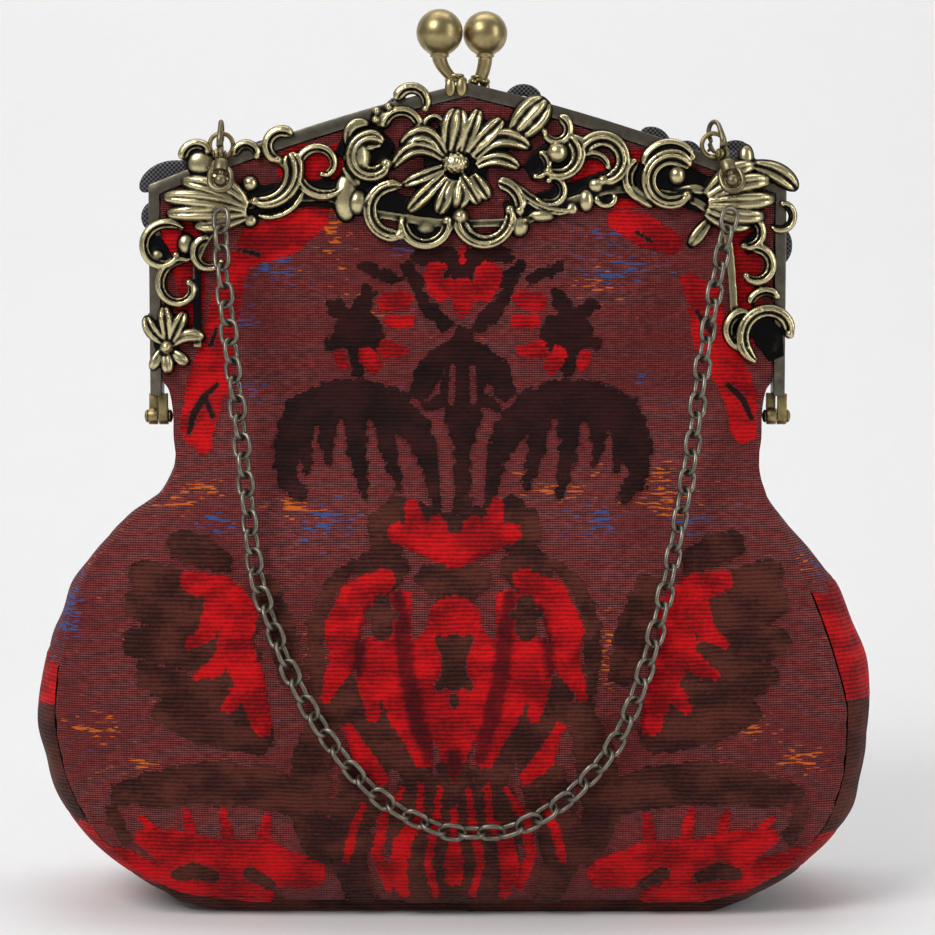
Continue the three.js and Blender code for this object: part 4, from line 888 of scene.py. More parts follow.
def add_ring(name, centre, radius, wire, material, upright=True, segments=(40, 14)):
    bpy.ops.object.select_all(action="DESELECT")
    bpy.ops.mesh.primitive_torus_add(
        major_radius=radius * MM, minor_radius=wire * MM,
        major_segments=segments[0], minor_segments=segments[1],
        location=Vector(centre) * MM, rotation=(math.pi / 2 if upright else 0, 0, 0))
    return named(name, material)


def add_block(name, low, high, material):
    low, high = Vector(low) * MM, Vector(high) * MM
    bpy.ops.object.select_all(action="DESELECT")
    bpy.ops.mesh.primitive_cube_add(size=1, location=(low + high) / 2)
    bpy.context.object.scale = high - low
    return named(name, material)


def pick(obj, test, kind="FACE"):
    """Opens a piece in edit mode with the faces or corners that pass a test selected."""
    activate(obj)
    bpy.ops.object.mode_set(mode="EDIT")
    bpy.ops.mesh.select_mode(type=kind)
    bpy.ops.mesh.select_all(action="DESELECT")
    bpy.ops.object.mode_set(mode="OBJECT")
    if kind == "FACE":
        for face in obj.data.polygons:
            face.select = test(face.center / MM, face.normal)
    else:
        for vertex in obj.data.vertices:
            vertex.select = test(vertex.co / MM)
    bpy.ops.object.mode_set(mode="EDIT")


def pull(move, size=1, about=(0, 0, 0)):
    """Extrudes what is selected, then resizes it level about a point."""
    bpy.ops.mesh.extrude_region_move(TRANSFORM_OT_translate={"value": Vector(move) * MM})
    if size != 1:
        bpy.ops.transform.resize(value=(size, size, 1), center_override=Vector(about) * MM)


def done(obj):
    bpy.ops.object.mode_set(mode="OBJECT")
    return obj


def joined(name, parts):
    bpy.ops.object.select_all(action="DESELECT")
    for part in parts:
        part.select_set(True)
    bpy.context.view_layer.objects.active = parts[0]
    bpy.ops.object.join()
    obj = bpy.context.object
    obj.name = name
    obj.data.name = name
    return obj


def softened(obj, width):
    """Small round edges, with flat faces left flat."""
    outward(obj)
    apply_modifier(
        obj, "BEVEL", width=width * MM, segments=2, limit_method="ANGLE", angle_limit=math.radians(40))
    activate(obj)
    bpy.ops.object.shade_smooth_by_angle(angle=math.radians(35))
    return obj


def make_rail(material):
    """The plain outer rail, pulled up one leg, over the gable and down the other leg."""
    foot = HINGE_HEIGHT + LUG_HEIGHT - 2 * CLEARANCE
    inside = FRAME_HALF - LEG_WIDTH
    corner = float(gable(inside)) - RAIL_HEIGHT
    drop = float(gable(FRAME_HALF) - gable(inside)) * MM
    low, high = (-FRAME_HALF, -RAIL_FRONT, foot), (-inside, -HALVES_GAP / 2, corner)
    rail = add_block("front_rail", low, high, material)
    pick(rail, lambda middle, normal: normal.z > 0.9)
    pull((0, 0, RAIL_HEIGHT))
    done(rail)
    pick(rail, lambda co: co.x < -inside - 1 and co.z > corner + 1, "VERT")
    bpy.ops.transform.translate(value=(0, 0, drop))
    done(rail)
    pick(rail, lambda middle, normal: normal.x > 0.9 and middle.z > corner)
    xs = np.linspace(-inside, inside, 49)
    for before, after in zip(xs, xs[1:]):
        pull((after - before, 0, float(gable(after) - gable(before))))
    pull((LEG_WIDTH, 0, 0))
    done(rail)
    pick(rail, lambda co: co.x > inside + 1 and co.z > corner + 1, "VERT")
    bpy.ops.transform.translate(value=(0, 0, drop))
    done(rail)
    pick(rail, lambda middle, normal: normal.z < -0.9 and middle.x > inside)
    pull((0, 0, foot - corner))
    return softened(done(rail), 0.35)


def make_knuckles(material):
    """The two hinge barrels of one half of the frame, each with its lug."""
    parts = []
    for side, within in ((-1, True), (1, False)):
        way = -1 if within else 1
        near = JOINT_PLANE + way * CLEARANCE / 2
        far = near + way * KNUCKLE_WIDTH
        low, high = sorted((side * near, side * far))
        ends = (low, 0, HINGE_HEIGHT), (high, 0, HINGE_HEIGHT)
        barrel = add_cylinder("barrel", *ends, KNUCKLE_RADIUS, material)
        pick(barrel, lambda middle, normal: abs(normal.x) > 0.9)
        bpy.ops.mesh.inset(thickness=0.3 * MM, depth=-0.1 * MM, use_individual=True)
        parts.append(softened(done(barrel), 0.12))
        top = (high, -HALVES_GAP / 2, HINGE_HEIGHT + LUG_HEIGHT)
        lug = add_block("lug", (low, -KNUCKLE_RADIUS, HINGE_HEIGHT), top, material)
        parts.append(softened(lug, 0.25))
    return joined("front_knuckles", parts)


def turned(obj, name):
    """A copy turned half a turn about the upright axis."""
    copy = obj.copy()
    copy.data = obj.data.copy()
    copy.name = name
    copy.data.name = name
    copy.data.transform(Matrix.Rotation(math.pi, 4, "Z"))
    bpy.context.scene.collection.objects.link(copy)
    return copy


# Materials


def node_group(name, inputs, outputs):
    group = bpy.data.node_groups.new(name, "ShaderNodeTree")
    for key, kind, value in inputs:
        socket = group.interface.new_socket(key, in_out="INPUT", socket_type=kind)
        if value is not None:
            socket.default_value = value
    for key, kind in outputs:
        group.interface.new_socket(key, in_out="OUTPUT", socket_type=kind)
    return group, Nodes(group)


class Nodes:
    """Short ways to add and join shader nodes."""

    def __init__(self, tree):
        self.tree = tree
        self.column = 0

    def add(self, kind, **settings):
        node = self.tree.nodes.new(kind)
        node.location = (180 * self.column, 0)
        self.column += 1
        for key, value in settings.items():
            setattr(node, key, value)
        return node

    def put(self, socket, value):
        if isinstance(value, bpy.types.NodeSocket):
            self.tree.links.new(value, socket)
        elif isinstance(value, tuple) and len(value) == 3 and len(socket.default_value) == 4:
            socket.default_value = (*value, 1)
        else:
            socket.default_value = value

    def math(self, operation, a, b=0.0, clamp=False):
        node = self.add("ShaderNodeMath", operation=operation, use_clamp=clamp)
        self.put(node.inputs[0], a)
        self.put(node.inputs[1], b)
        return node.outputs[0]

    def ramp(self, value, low, high, to_low=0.0, to_high=1.0):
        node = self.add("ShaderNodeMapRange", interpolation_type="SMOOTHSTEP")
        for socket, given in zip(node.inputs, (value, low, high, to_low, to_high)):
            self.put(socket, given)
        return node.outputs[0]

    def mix(self, share, a, b, blend="MIX"):
        node = self.add("ShaderNodeMix", data_type="RGBA", blend_type=blend)
        self.put(node.inputs[0], share)
        self.put(node.inputs[6], a)
        self.put(node.inputs[7], b)
        return node.outputs[2]

    def noise(self, vector, scale, detail=2.0, roughness=0.5):
        node = self.add("ShaderNodeTexNoise")
        self.put(node.inputs["Vector"], vector)
        self.put(node.inputs["Scale"], scale)
        self.put(node.inputs["Detail"], detail)
        self.put(node.inputs["Roughness"], roughness)
        return node.outputs[0]

    def stretch(self, vector, scale):
        node = self.add("ShaderNodeMapping")
        self.put(node.inputs["Vector"], vector)
        self.put(node.inputs["Scale"], scale)
        return node.outputs[0]

    def attribute(self, name):
        return self.add("ShaderNodeAttribute", attribute_name=name).outputs["Fac"]

    def bump(self, height, strength, distance):
        node = self.add("ShaderNodeBump")
        self.put(node.inputs["Strength"], strength)
        self.put(node.inputs["Distance"], distance)
        self.put(node.inputs["Height"], height)
        return node.outputs[0]


def linear(*srgb):
    return tuple(c / 12.92 if c < 0.04045 else ((c + 0.055) / 1.055) ** 2.4 for c in srgb)


FLOAT, COLOUR, VECTOR = "NodeSocketFloat", "NodeSocketColor", "NodeSocketVector"


def make_weave_group():
    """Fine horizontal lines of the woven ground, with loose floats of coloured weft."""
    group, n = node_group(
        "Woven ground",
        [("Vector", VECTOR, None), ("Orange", FLOAT, 0.0), ("Blue", FLOAT, 0.0)],
        [("Colour", COLOUR), ("Height", FLOAT)],
    )
    given = n.add("NodeGroupInput")
    vector = given.outputs["Vector"]
    place = n.add("ShaderNodeSeparateXYZ")
    n.put(place.inputs[0], vector)
    wobble = n.math("MULTIPLY", n.noise(vector, 60, 2), 1.4)
    rows = n.math("MULTIPLY", place.outputs[2], 2 * math.pi / THREAD_PITCH)
    lines = n.math("SINE", n.math("ADD", rows, wobble))
    warp = n.math("SINE", n.math("MULTIPLY", place.outputs[0], 2 * math.pi / WARP_PITCH))
    threads = n.math("ADD", n.math("MULTIPLY", lines, 0.4), n.math("MULTIPLY", warp, 0.14))
    level = n.ramp(n.math("ADD", threads, n.noise(n.stretch(vector, (500, 500, 1500)), 1, 2)), 0.0, 1.0)
    colour = n.mix(level, linear(0.17, 0.04, 0.06), linear(0.58, 0.27, 0.26))
    tone = n.ramp(n.noise(vector, 45, 3), 0.35, 0.7)
    colour = n.mix(n.math("MULTIPLY", tone, 0.4), colour, linear(0.40, 0.08, 0.10))
    dash = n.noise(n.stretch(vector, (260, 200, 1700)), 1, 1)
    for key, tint in (("Orange", linear(0.88, 0.42, 0.10)), ("Blue", linear(0.20, 0.34, 0.58))):
        threshold = n.math("SUBTRACT", 0.78, n.math("MULTIPLY", given.outputs[key], 0.25))
        thread = dash if key == "Orange" else n.math("SUBTRACT", 1.0, dash)
        shown = n.ramp(n.math("SUBTRACT", thread, threshold), 0.0, 0.03)
        colour = n.mix(n.math("MULTIPLY", shown, 0.9), colour, tint)
    out = n.add("NodeGroupOutput")
    n.put(out.inputs["Colour"], colour)
    n.put(out.inputs["Height"], level)
    return group


def make_pile_group():
    """Cut pile in horizontal ribs, with painted shade: the colour runs from the shaded colour in the hollows
    between ribs and tufts to the lit colour on their tops, with painted sheen where the pile is brushed one
    way or the other.
    """
    group, n = node_group(
        "Cut pile",
        [("Vector", VECTOR, None), ("Light", COLOUR, (0.6, 0.02, 0.03, 1)),
         ("Shaded hollows", COLOUR, (0.2, 0.01, 0.01, 1))],
        [("Colour", COLOUR), ("Height", FLOAT)],
    )
    given = n.add("NodeGroupInput")
    vector = given.outputs["Vector"]
    place = n.add("ShaderNodeSeparateXYZ")
    n.put(place.inputs[0], vector)
    wobble = n.math("MULTIPLY", n.noise(vector, 90, 2), 5.0)
    rows = n.math("MULTIPLY", place.outputs[2], 2 * math.pi / RIB_PITCH)
    ribs = n.ramp(n.math("SINE", n.math("ADD", rows, wobble)), -1.0, 0.5)
    tufts = n.noise(n.stretch(vector, (900, 900, 900)), 1, 3, 0.7)
    height = n.math("ADD", n.math("MULTIPLY", ribs, 0.34), n.math("MULTIPLY", tufts, 0.85))
    # Painted sheen: patches of brushed pile made lighter or darker
    nap_sheen = n.ramp(n.noise(n.stretch(vector, (90, 60, 160)), 1, 3), 0.3, 0.72)
    shade = n.math("ADD", n.math("MULTIPLY", height, 0.62), n.math("MULTIPLY", nap_sheen, 0.38))
    # Painted shade: the lit colour on the tops of ribs and tufts, the shaded colour in the hollows between
    # them
    colour = n.mix(n.ramp(shade, 0.25, 0.95), given.outputs["Shaded hollows"], given.outputs["Light"])
    out = n.add("NodeGroupOutput")
    n.put(out.inputs["Colour"], colour)
    n.put(out.inputs["Height"], height)
    return group


def new_material(name):
    material = bpy.data.materials.new(name)
    material.use_nodes = True
    material.node_tree.nodes.clear()
    n = Nodes(material.node_tree)
    shader = n.add("ShaderNodeBsdfPrincipled")
    out = n.add("ShaderNodeOutputMaterial")
    n.put(out.inputs["Surface"], shader.outputs[0])
    return material, n, shader


def make_velvet():
    material, n, shader = new_material("cut_velvet")
    vector = n.add("ShaderNodeTexCoord").outputs["Object"]
    weave = n.add("ShaderNodeGroup", node_tree=make_weave_group())
    n.put(weave.inputs["Vector"], vector)
    n.put(weave.inputs["Orange"], n.attribute("orange"))
    n.put(weave.inputs["Blue"], n.attribute("blue"))
    pile = make_pile_group()
    # Lit and shaded copies of the brown and the red pile: the first of each pair is for the lit tops of ribs
    # and tufts, the second is painted shade for their hollows.
    brown_lit_tops = n.mix(n.attribute("dark"), linear(0.36, 0.17, 0.13), linear(0.20, 0.07, 0.065))
    brown_shaded_hollows = n.mix(n.attribute("dark"), linear(0.13, 0.045, 0.04), linear(0.07, 0.022, 0.022))
    piles = []
    shaded = n.attribute("shaded")
    red_lit_tops = n.mix(shaded, linear(0.82, 0.04, 0.07), linear(0.46, 0.03, 0.06))
    red_shaded_hollows = n.mix(shaded, linear(0.36, 0.01, 0.03), linear(0.20, 0.01, 0.03))
    for light, deep in ((brown_lit_tops, brown_shaded_hollows), (red_lit_tops, red_shaded_hollows)):
        node = n.add("ShaderNodeGroup", node_tree=pile)
        n.put(node.inputs["Vector"], vector)
        n.put(node.inputs["Light"], light)
        n.put(node.inputs["Shaded hollows"], deep)
        piles.append(node)
    fray = n.math("MULTIPLY", n.math("SUBTRACT", n.noise(vector, 1300, 2), 0.5), 0.0016 / MM)
    masks = []
    for key in ("brown", "red"):
        edge = n.math("ADD", n.attribute(key), fray)
        masks.append(n.ramp(edge, -0.12, 0.25))
    colour = n.mix(masks[0], weave.outputs["Colour"], piles[0].outputs["Colour"])
    colour = n.mix(masks[1], colour, piles[1].outputs["Colour"])
    covered = n.math("MAXIMUM", masks[0], masks[1])
    height = n.mix(covered, weave.outputs["Height"], piles[0].outputs["Height"])
    n.put(shader.inputs["Base Color"], colour)
    n.put(shader.inputs["Roughness"], 0.85)
    n.put(shader.inputs["Sheen Weight"], 0.06)
    n.put(shader.inputs["Sheen Roughness"], 0.4)
    n.put(shader.inputs["Specular IOR Level"], 0.15)
    n.put(shader.inputs["Normal"], n.bump(height, 0.8, 0.0006))
    return material


def make_patina_group():
    """Antique metal: dark with patina in the hollows and bright where it is rubbed; on the casting its input
    also holds painted shade on the sides of the relief.
    """
    group, n = node_group(
        "Patina",
        [("Vector", VECTOR, None), ("Worn and shaded", FLOAT, 0.6), ("Bright", COLOUR, (0.7, 0.6, 0.4, 1)),
         ("Dark", COLOUR, (0.03, 0.03, 0.03, 1))],
        [("Colour", COLOUR), ("Roughness", FLOAT), ("Height", FLOAT)],
    )
    given = n.add("NodeGroupInput")
    vector = given.outputs["Vector"]
    cloud = n.noise(vector, 420, 3)
    fine = n.noise(vector, 2600, 2)
    worn_and_shaded = n.math("ADD", given.outputs["Worn and shaded"], n.math("MULTIPLY", n.math("SUBTRACT", cloud, 0.5), 0.35))
    share = n.ramp(worn_and_shaded, 0.2, 0.8)
    out = n.add("NodeGroupOutput")
    n.put(out.inputs["Colour"], n.mix(share, given.outputs["Dark"], given.outputs["Bright"]))
    rough = n.math("ADD", n.ramp(share, 0.0, 1.0, 0.5, 0.22), n.math("MULTIPLY", fine, 0.1))
    n.put(out.inputs["Roughness"], rough)
    height = n.math("ADD", n.math("MULTIPLY", cloud, 0.6), n.math("MULTIPLY", fine, 0.2))
    n.put(out.inputs["Height"], height)
    return group


def make_metal(name, patina, bright, dark, worn_and_shaded=None, bump=0.15, knurled=False):
    material, n, shader = new_material(name)
    vector = n.add("ShaderNodeTexCoord").outputs["Object"]
    node = n.add("ShaderNodeGroup", node_tree=patina)
    n.put(node.inputs["Vector"], vector)
    n.put(node.inputs["Worn and shaded"], n.attribute("worn_and_shaded") if worn_and_shaded is None else worn_and_shaded)
    n.put(node.inputs["Bright"], linear(*bright))
    n.put(node.inputs["Dark"], linear(*dark))
    colour, height = node.outputs["Colour"], node.outputs["Height"]
    if knurled:
        inside = n.attribute("inside")
        place = n.add("ShaderNodeSeparateXYZ")
        n.put(place.inputs[0], vector)
        dots = None
        for axis in (0, 2):
            wave = n.math("SINE", n.math("MULTIPLY", place.outputs[axis], 2 * math.pi / KNURL_PITCH))
            dots = wave if dots is None else n.math("MULTIPLY", dots, wave)
        knurling = n.mix(n.ramp(dots, -0.4, 0.4), linear(0.15, 0.15, 0.16), linear(0.42, 0.41, 0.42))
        colour = n.mix(inside, colour, knurling)
        height = n.mix(inside, height, n.ramp(dots, -0.5, 0.5))
    n.put(shader.inputs["Metallic"], 1.0)
    n.put(shader.inputs["Base Color"], colour)
    n.put(shader.inputs["Roughness"], node.outputs["Roughness"])
    n.put(shader.inputs["Normal"], n.bump(height, bump, 0.0003))
    return material


patina = make_patina_group()
velvet = make_velvet()
cast_brass = make_metal("cast_brass", patina, (0.80, 0.75, 0.58), (0.09, 0.085, 0.09), knurled=True)
rail_brass = make_metal("rail_brass", patina, (0.50, 0.47, 0.41), (0.17, 0.16, 0.16), worn_and_shaded=0.5)
ball_brass = make_metal("ball_brass", patina, (0.74, 0.67, 0.48), (0.34, 0.30, 0.22), worn_and_shaded=0.55, bump=0.03)
hinge_brass = make_metal("hinge_brass", patina, (0.76, 0.68, 0.47), (0.24, 0.21, 0.16), worn_and_shaded=0.5, bump=0.05)
clasp_brass = make_metal("clasp_brass", patina, (0.66, 0.61, 0.47), (0.17, 0.16, 0.14), worn_and_shaded=0.5, bump=0.06)
chain_metal = make_metal("chain_metal", patina, (0.62, 0.59, 0.53), (0.22, 0.21, 0.20), worn_and_shaded=0.5, bump=0.1)


# The pieces


def settle(obj, body, slot, *nodes):
    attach(obj, body)
    if nodes:
        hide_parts(*nodes)
    return obj


BODY = "bag"
front_cloth = make_panel("front_cloth", -1, 306, 300, velvet)
back_cloth = make_panel("back_cloth", 1, 220, 216, velvet)
gusset_cloth = make_gusset(velvet)
settle(front_cloth, BODY, "velvet", "front_panel")
settle(back_cloth, BODY, "velvet", "back_panel")
settle(gusset_cloth, BODY, "velvet", "gusset")

front_casting = make_casting(cast_brass)
back_casting = turned(front_casting, "back_casting")
front_rail = make_rail(rail_brass)
back_rail = turned(front_rail, "back_rail")
front_knuckles = make_knuckles(hinge_brass)
back_knuckles = turned(front_knuckles, "back_knuckles")
settle(front_casting, BODY, "brass", "front_frame")
settle(back_casting, BODY, "brass", "back_frame")
for piece in (front_rail, back_rail, front_knuckles, back_knuckles):
    settle(piece, BODY, "brass")

EYE_Z = float(gable(EYE_X)) + EYE_RISE

for side, name in ((-1, "left"), (1, "right")):
    at = Vector((side * EYE_X, -RAIL_FRONT, EYE_Z))
    eye = add_ring(f"{name}_eye_ring", at, EYE_RADIUS, EYE_WIRE, hinge_brass)
    solder = add_ball("solder", at - Vector((0, 0, EYE_RADIUS)), 1, hinge_brass, (1.5, 0.8, 0.7), 20)
    settle(joined(f"{name}_eye", [eye, solder]), BODY, "brass")


BALL_RISE = 13
BALL_STAGGER = 1.7


def kiss_lock(name, side, ball_x, radius):
    """A ball pulled out into a collar and a bent stem, and the two folds that wrap the peak."""
    top = float(gable(0))
    at = Vector((ball_x, side * BALL_STAGGER, top + BALL_RISE))
    foot = Vector((math.copysign(3, ball_x), side * 2.4, top + 0.4))
    knob = add_ball(name, at, radius, ball_brass, segments=64)
    pick(knob, lambda middle, normal: normal.z < -0.93)
    start = at - Vector((0, 0, radius * 0.96))
    bpy.ops.transform.resize(value=(1, 1, 0), center_override=start * MM)
    pull((0, 0, -0.35), 1.12, start)
    pull((0, 0, -0.35), 0.76, start)
    start = start - Vector((0, 0, 0.7))
    path = []
    for k in range(11):
        share = k / 10
        level = start.z + (foot.z - start.z) * share
        x = start.x + (foot.x - start.x) * share**1.7
        y = start.y + (foot.y - start.y) * share
        path.append(Vector((x, y, level)))
    for before, after in zip(path, path[1:]):
        pull(after - before, 0.995, after)
    done(knob)
    folds = []
    for reach in (-1.45, 1.45):
        x = foot.x + reach
        over = add_ball("over", (x, side * 2.5, top + 0.6), 1, ball_brass, (1.45, 2.6, 1.15), 28)
        face = add_ball("face", (x, side * 4.5, top - 1.2), 1, ball_brass, (1.4, 0.95, 2.5), 28)
        folds += [over, face]
    band = add_ring("band", (foot.x, foot.y, foot.z + 1.5), 1.75, 0.42, ball_brass, False, (32, 12))
    return joined(name, [knob, band, *folds])


settle(kiss_lock("front_kiss_lock_ball", -1, -7.2, 6), BODY, "brass", "front_kiss_lock")
settle(kiss_lock("back_kiss_lock_ball", 1, 4.6, 5.75), BODY, "brass", "back_kiss_lock")

for side, name in ((-1, "left"), (1, "right")):
    x = side * JOINT_PLANE
    shank = add_cylinder("shank", (x - 2.9, 0, HINGE_HEIGHT), (x + 2.9, 0, HINGE_HEIGHT), 0.8, hinge_brass)
    heads = [
        add_ball("head", (x + end * 2.95, 0, HINGE_HEIGHT), 1.7, hinge_brass, (0.45, 1, 1), 28)
        for end in (-1, 1)
    ]
    settle(joined(f"{name}_rivet", [shank, *heads]), BODY, "brass", f"{name}_hinge_rivet")

# The strap
CHAIN_ROUTE = [
    (-63.1, 182.6), (-62.6, 168), (-61.2, 155), (-59.4, 141), (-56.9, 122), (-55.3, 108), (-52.5, 88),
    (-49.4, 79), (-43.2, 64), (-32.4, 46), (-21.6, 34.2), (-12.6, 28.6), (-2.6, 25.2), (7.5, 25.2),
    (13.6, 27), (22.4, 32.2), (29.9, 39.1), (36, 46.8), (40.7, 56.4), (45.6, 70.8), (50.7, 90.6),
    (56.6, 121), (59.2, 139.3), (62.3, 157), (64.6, 168), (67.9, 182.6),
]
LANDING = 62  # height at which the hanging chain meets the bag
RELIEF_CLEARED = 4.2  # height of the relief that the chain's ends clear
LINK_LENGTH = 7.4
LINK_WIDTH = 5.6
LINK_WIRE = 0.625
LINK_PITCH = LINK_LENGTH - 4 * LINK_WIRE


def chain_line():
    top = RELIEF_BASE + RELIEF_CLEARED + CLEARANCE + LINK_WIDTH / 2
    landing = panel_depth(0, LANDING) + LINK_WIDTH / 2 + CLEARANCE
    points = []
    for x, z in CHAIN_ROUTE:
        share = max((z - LANDING) / (CHAIN_ROUTE[0][1] - LANDING), 0)
        hanging = landing + (top - landing) * share if z > LANDING else 0
        points.append((x, -max(hanging, panel_depth(x, z) + LINK_WIDTH / 2 + 2 * CLEARANCE), z))
    return smooth_line(points, 1200)


def make_link():
    """A plain oval link along x: a ring pulled apart at its middle."""
    ring = add_ring("link", (0, 0, 0), LINK_WIDTH / 2 - LINK_WIRE, LINK_WIRE, chain_metal, False, (24, 10))
    straight = (LINK_LENGTH - LINK_WIDTH) / 2
    for way in (-1, 1):
        pick(ring, lambda co: co.x * way > 0.05, "VERT")
        bpy.ops.transform.translate(value=(way * straight * MM, 0, 0))
        done(ring)
    points = np.array([vertex.co[:] for vertex in ring.data.vertices]) / MM
    faces = [tuple(face.vertices) for face in ring.data.polygons]
    bpy.data.objects.remove(ring)
    return points, faces


def make_chain():
    line = chain_line()
    length = np.concatenate([[0], np.cumsum(np.linalg.norm(np.diff(line, axis=0), axis=1))])
    count = int(round(length[-1] / LINK_PITCH)) - 1
    pitch = length[-1] / (count + 1)
    base, faces = make_link()
    shells = []
    draw = np.random.default_rng(7)
    for k in range(count):
        at = (k + 1) * pitch
        here = np.array([np.interp(at, length, line[:, i]) for i in range(3)])
        ahead = np.array([np.interp(at + 2, length, line[:, i]) for i in range(3)])
        behind = np.array([np.interp(at - 2, length, line[:, i]) for i in range(3)])
        along = (ahead - behind) / np.linalg.norm(ahead - behind)
        side = np.cross(along, [0, -1, 0])
        side /= np.linalg.norm(side)
        up = np.cross(along, side)
        roll = math.radians(28 + 90 * (k % 2) + draw.uniform(-9, 9))
        a = math.cos(roll) * side + math.sin(roll) * up
        b = np.cross(along, a)
        shells.append((base @ np.array([along, a, b]) + here, faces))
    return outward(mesh_object("chain_links", *together(shells), chain_metal))


settle(make_chain(), BODY, "chain", "chain")

# The clasps, drawn with the eye's wire at the origin, as in the solids
PIN_Z = -6.6
PIN_X = 0.6
ARCH = (0.455, 0, 0.3)
ARCH_RADIUS = 2.475
PLATE_RADIUS = 2.1
POST_Y = 0.4
KNOB_RADIUS = 1.7
BOSS_LENGTH = 3.15
BOSS_Z = PIN_Z - PLATE_RADIUS - CLEARANCE - BOSS_LENGTH / 2
OVAL_Z = BOSS_Z - 3.45
CLASP_TILT = 30


def placed(obj, side, turn):
    """Moves a clasp's mesh from its own drawing to its eye."""
    place = (
        Matrix.Translation(Vector((side * EYE_X, -RAIL_FRONT, EYE_Z + EYE_RADIUS)) * MM)
        @ Matrix.Rotation(math.radians(turn), 4, "Z")
        @ Matrix.Rotation(math.radians(-CLASP_TILT), 4, "Y")
    )
    obj.data.transform(place)
    return outward(obj)


def make_claw():
    """The hook: half a ring, pulled down into a tip on one side and a shank on the other."""
    claw = add_ring("claw", ARCH, ARCH_RADIUS, 0.62, clasp_brass, True, (32, 14))
    pick(claw, lambda co: co.z < ARCH[2] - 0.05, "VERT")
    bpy.ops.mesh.delete(type="VERT")
    done(claw)
    left, right = ARCH[0] - ARCH_RADIUS, ARCH[0] + ARCH_RADIUS
    pick(claw, lambda co: co.z < ARCH[2] + 0.05 and co.x < ARCH[0], "VERT")
    pull((0, 0, -1.2), 0.92, (left, 0, 0))
    pull((0, 0, -0.5), 0.7, (left, 0, 0))
    bpy.ops.mesh.edge_face_add()
    done(claw)
    pick(claw, lambda co: abs(co.z - ARCH[2]) < 0.05 and co.x > ARCH[0], "VERT")
    pull((0, 0, -2.2), 1.2, (right, 0, 0))
    pull((-0.15, 0, -1.8), 1.2, (right - 0.15, 0, 0))
    pull((-0.9, 0, -1.4), 1.05, (right - 1.05, 0, 0))
    bpy.ops.mesh.edge_face_add()
    return done(claw)


def make_lever():
    """A flat arm pulled up from the hub to the tip of the hook, with a thumb piece."""
    arm = add_block("arm", (0, -1.1, PIN_Z - 0.2), (1.1, -0.3, PIN_Z + 0.2), hinge_brass)
    pick(arm, lambda middle, normal: normal.z > 0.9)
    for move in ((-0.9, 0, 0.7), (-0.9, 0, 0.9), (-0.6, 0, 1.1), (-0.15, 0, 1.1), (0, 0, 0.9)):
        pull(move)
    softened(done(arm), 0.15)
    hub = add_cylinder("hub", (PIN_X, -1.15, PIN_Z), (PIN_X, -0.35, PIN_Z), 1.45, hinge_brass)
    thumb = add_ball("thumb", (-2.9, -0.75, -3.2), 0.7, hinge_brass, (1, 0.6, 0.65), 20)
    return [arm, softened(hub, 0.12), thumb]


for side, name, turn in ((-1, "left", -90), (1, "right", -60)):
    plate = add_cylinder("plate", (PIN_X, 0.05, PIN_Z), (PIN_X, 0.9, PIN_Z), PLATE_RADIUS, clasp_brass)
    post_ends = (PIN_X, POST_Y, PIN_Z - 1.8), (PIN_X, POST_Y, PIN_Z - 7.6)
    post = add_cylinder("post", *post_ends, 0.85, clasp_brass, 20)
    knob = add_ball("knob", (PIN_X, POST_Y, BOSS_Z - 4.02), KNOB_RADIUS, clasp_brass, segments=28)
    body = joined(f"{name}_clasp", [make_claw(), softened(plate, 0.15), post, knob])
    settle(placed(body, side, turn), BODY, "brass", f"{name}_clasp_body")
    lever = joined(f"{name}_lever_arm", make_lever())
    settle(placed(lever, side, turn), f"{name}_lever", "brass", f"{name}_clasp_lever")
    pin = add_cylinder("pin", (PIN_X, -1.6, PIN_Z), (PIN_X, 1.4, PIN_Z), 0.45, hinge_brass, 20)
    heads = [add_ball("head", (PIN_X, y, PIN_Z), 1, hinge_brass, (1, 0.35, 1), 24) for y in (-1.5, 1.35)]
    pin = joined(f"{name}_lever_pin", [pin, *heads])
    settle(placed(pin, side, turn), BODY, "brass", f"{name}_clasp_rivet")
    oval = add_ring("oval", (0, 0, OVAL_Z), 2.75, 0.75, clasp_brass)
    for way in (-1, 1):
        pick(oval, lambda co: (co.z - OVAL_Z) * way > 0.05, "VERT")
        bpy.ops.transform.translate(value=(0, 0, way * 0.7 * MM))
        done(oval)
    boss = add_cylinder("boss", (0, 0, BOSS_Z - 1.55), (0, 0, BOSS_Z + 1.55), 2.05, clasp_brass)
    strap_loop = joined(f"{name}_loop", [oval, softened(boss, 0.3)])
    strap_loop.data.transform(Matrix.Rotation(math.radians(-turn), 4, "Z"))
    strap_loop.data.transform(Matrix.Translation(Vector((PIN_X, POST_Y, 0)) * MM))
    settle(placed(strap_loop, side, turn), BODY, "brass", f"{name}_clasp_loop")

# The studio


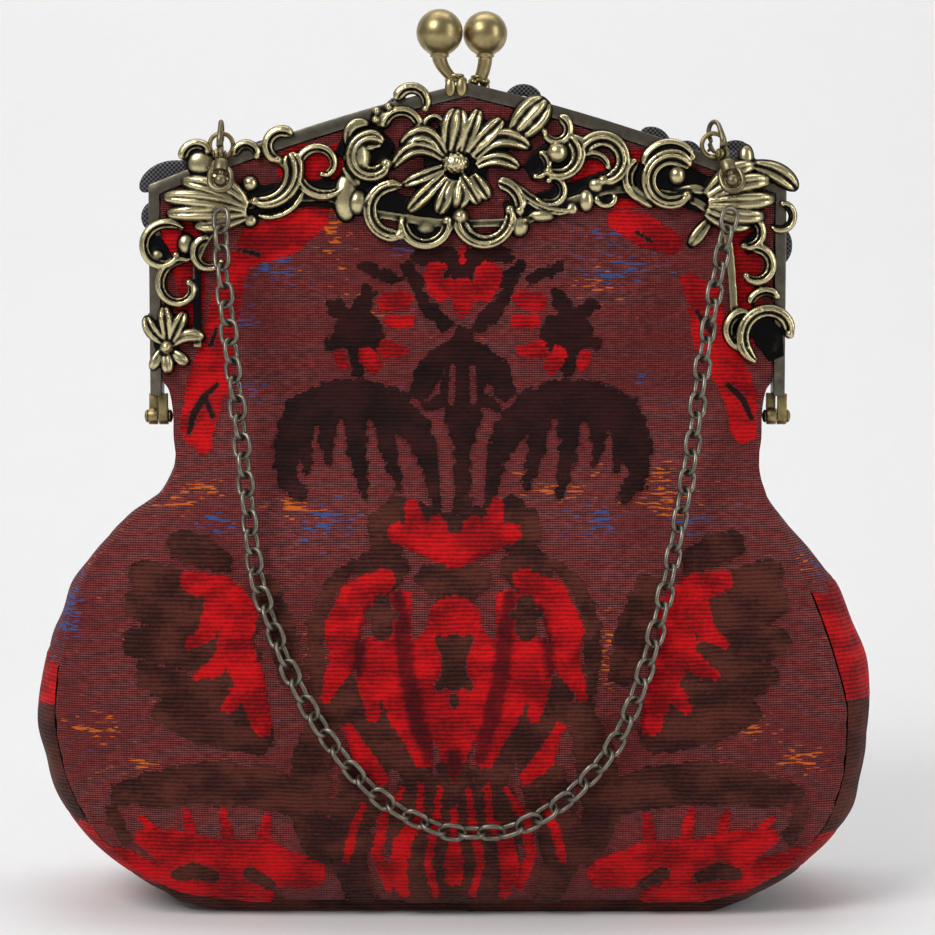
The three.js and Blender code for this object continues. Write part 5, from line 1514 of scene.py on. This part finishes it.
def make_studio():
    profile = [(-900, 0), (300, 0), (420, 8), (520, 40), (590, 100), (630, 190), (640, 300), (640, 1200)]
    profile = smooth_line([(0, y, z) for y, z in profile], 60)[:, 1:]
    points = [(x, y, z) for y, z in profile for x in (-1500, 1500)]
    faces = [(2 * i, 2 * i + 1, 2 * i + 3, 2 * i + 2) for i in range(len(profile) - 1)]
    material, n, shader = new_material("studio_paper")
    n.put(shader.inputs["Base Color"], (0.86, 0.86, 0.865))
    n.put(shader.inputs["Roughness"], 1.0)
    n.put(shader.inputs["Specular IOR Level"], 0.0)
    backdrop = mesh_object("backdrop", points, faces, material)


def area_light(name, place, target, size, power, colour=(1, 1, 1)):
    data = bpy.data.lights.new(name, "AREA")
    data.shape = "RECTANGLE"
    data.size, data.size_y = size
    data.energy = power
    data.color = colour
    obj = bpy.data.objects.new(name, data)
    obj.location = place
    obj.rotation_mode = "QUATERNION"
    obj.rotation_quaternion = (Vector(target) - Vector(place)).to_track_quat("-Z", "Y")
    bpy.context.scene.collection.objects.link(obj)


make_studio()
middle = (0, 0, 0.12)
area_light("key", (-0.55, -0.75, 0.85), middle, (0.5, 0.5), 8)
area_light("fill", (0.9, -0.6, 0.4), middle, (0.35, 0.8), 3)
area_light("top", (0.0, 0.1, 1.1), middle, (0.9, 0.6), 3)
area_light("wall", (0, 0.1, 1.0), (0, 0.64, 0.25), (1.6, 0.3), 1.6)

world = bpy.data.worlds.new("studio")
world.use_nodes = True
world.node_tree.nodes["Background"].inputs[0].default_value = (1, 1, 1, 1)
world.node_tree.nodes["Background"].inputs[1].default_value = 0.27
bpy.context.scene.world = world
bpy.context.scene.view_settings.view_transform = "Standard"

LENS = 100
SENSOR = 36
PHOTO_SIZE = 935
TILT = math.radians(4.5)
camera_data = bpy.data.cameras.new("camera")
camera_data.lens = LENS
camera_data.sensor_width = SENSOR
camera = bpy.data.objects.new("camera", camera_data)
target = Vector((0.0, -0.012, (FLOOR_PIXEL - PHOTO_SIZE / 2) * PIXEL * MM))
distance = PHOTO_SIZE * PIXEL * MM * LENS / SENSOR
camera.location = target + Vector((0, -math.cos(TILT), math.sin(TILT))) * distance
camera.rotation_mode = "QUATERNION"
camera.rotation_quaternion = (target - camera.location).to_track_quat("-Z", "Y")
camera_data.clip_start = 0.01
bpy.context.scene.collection.objects.link(camera)
bpy.context.scene.camera = camera
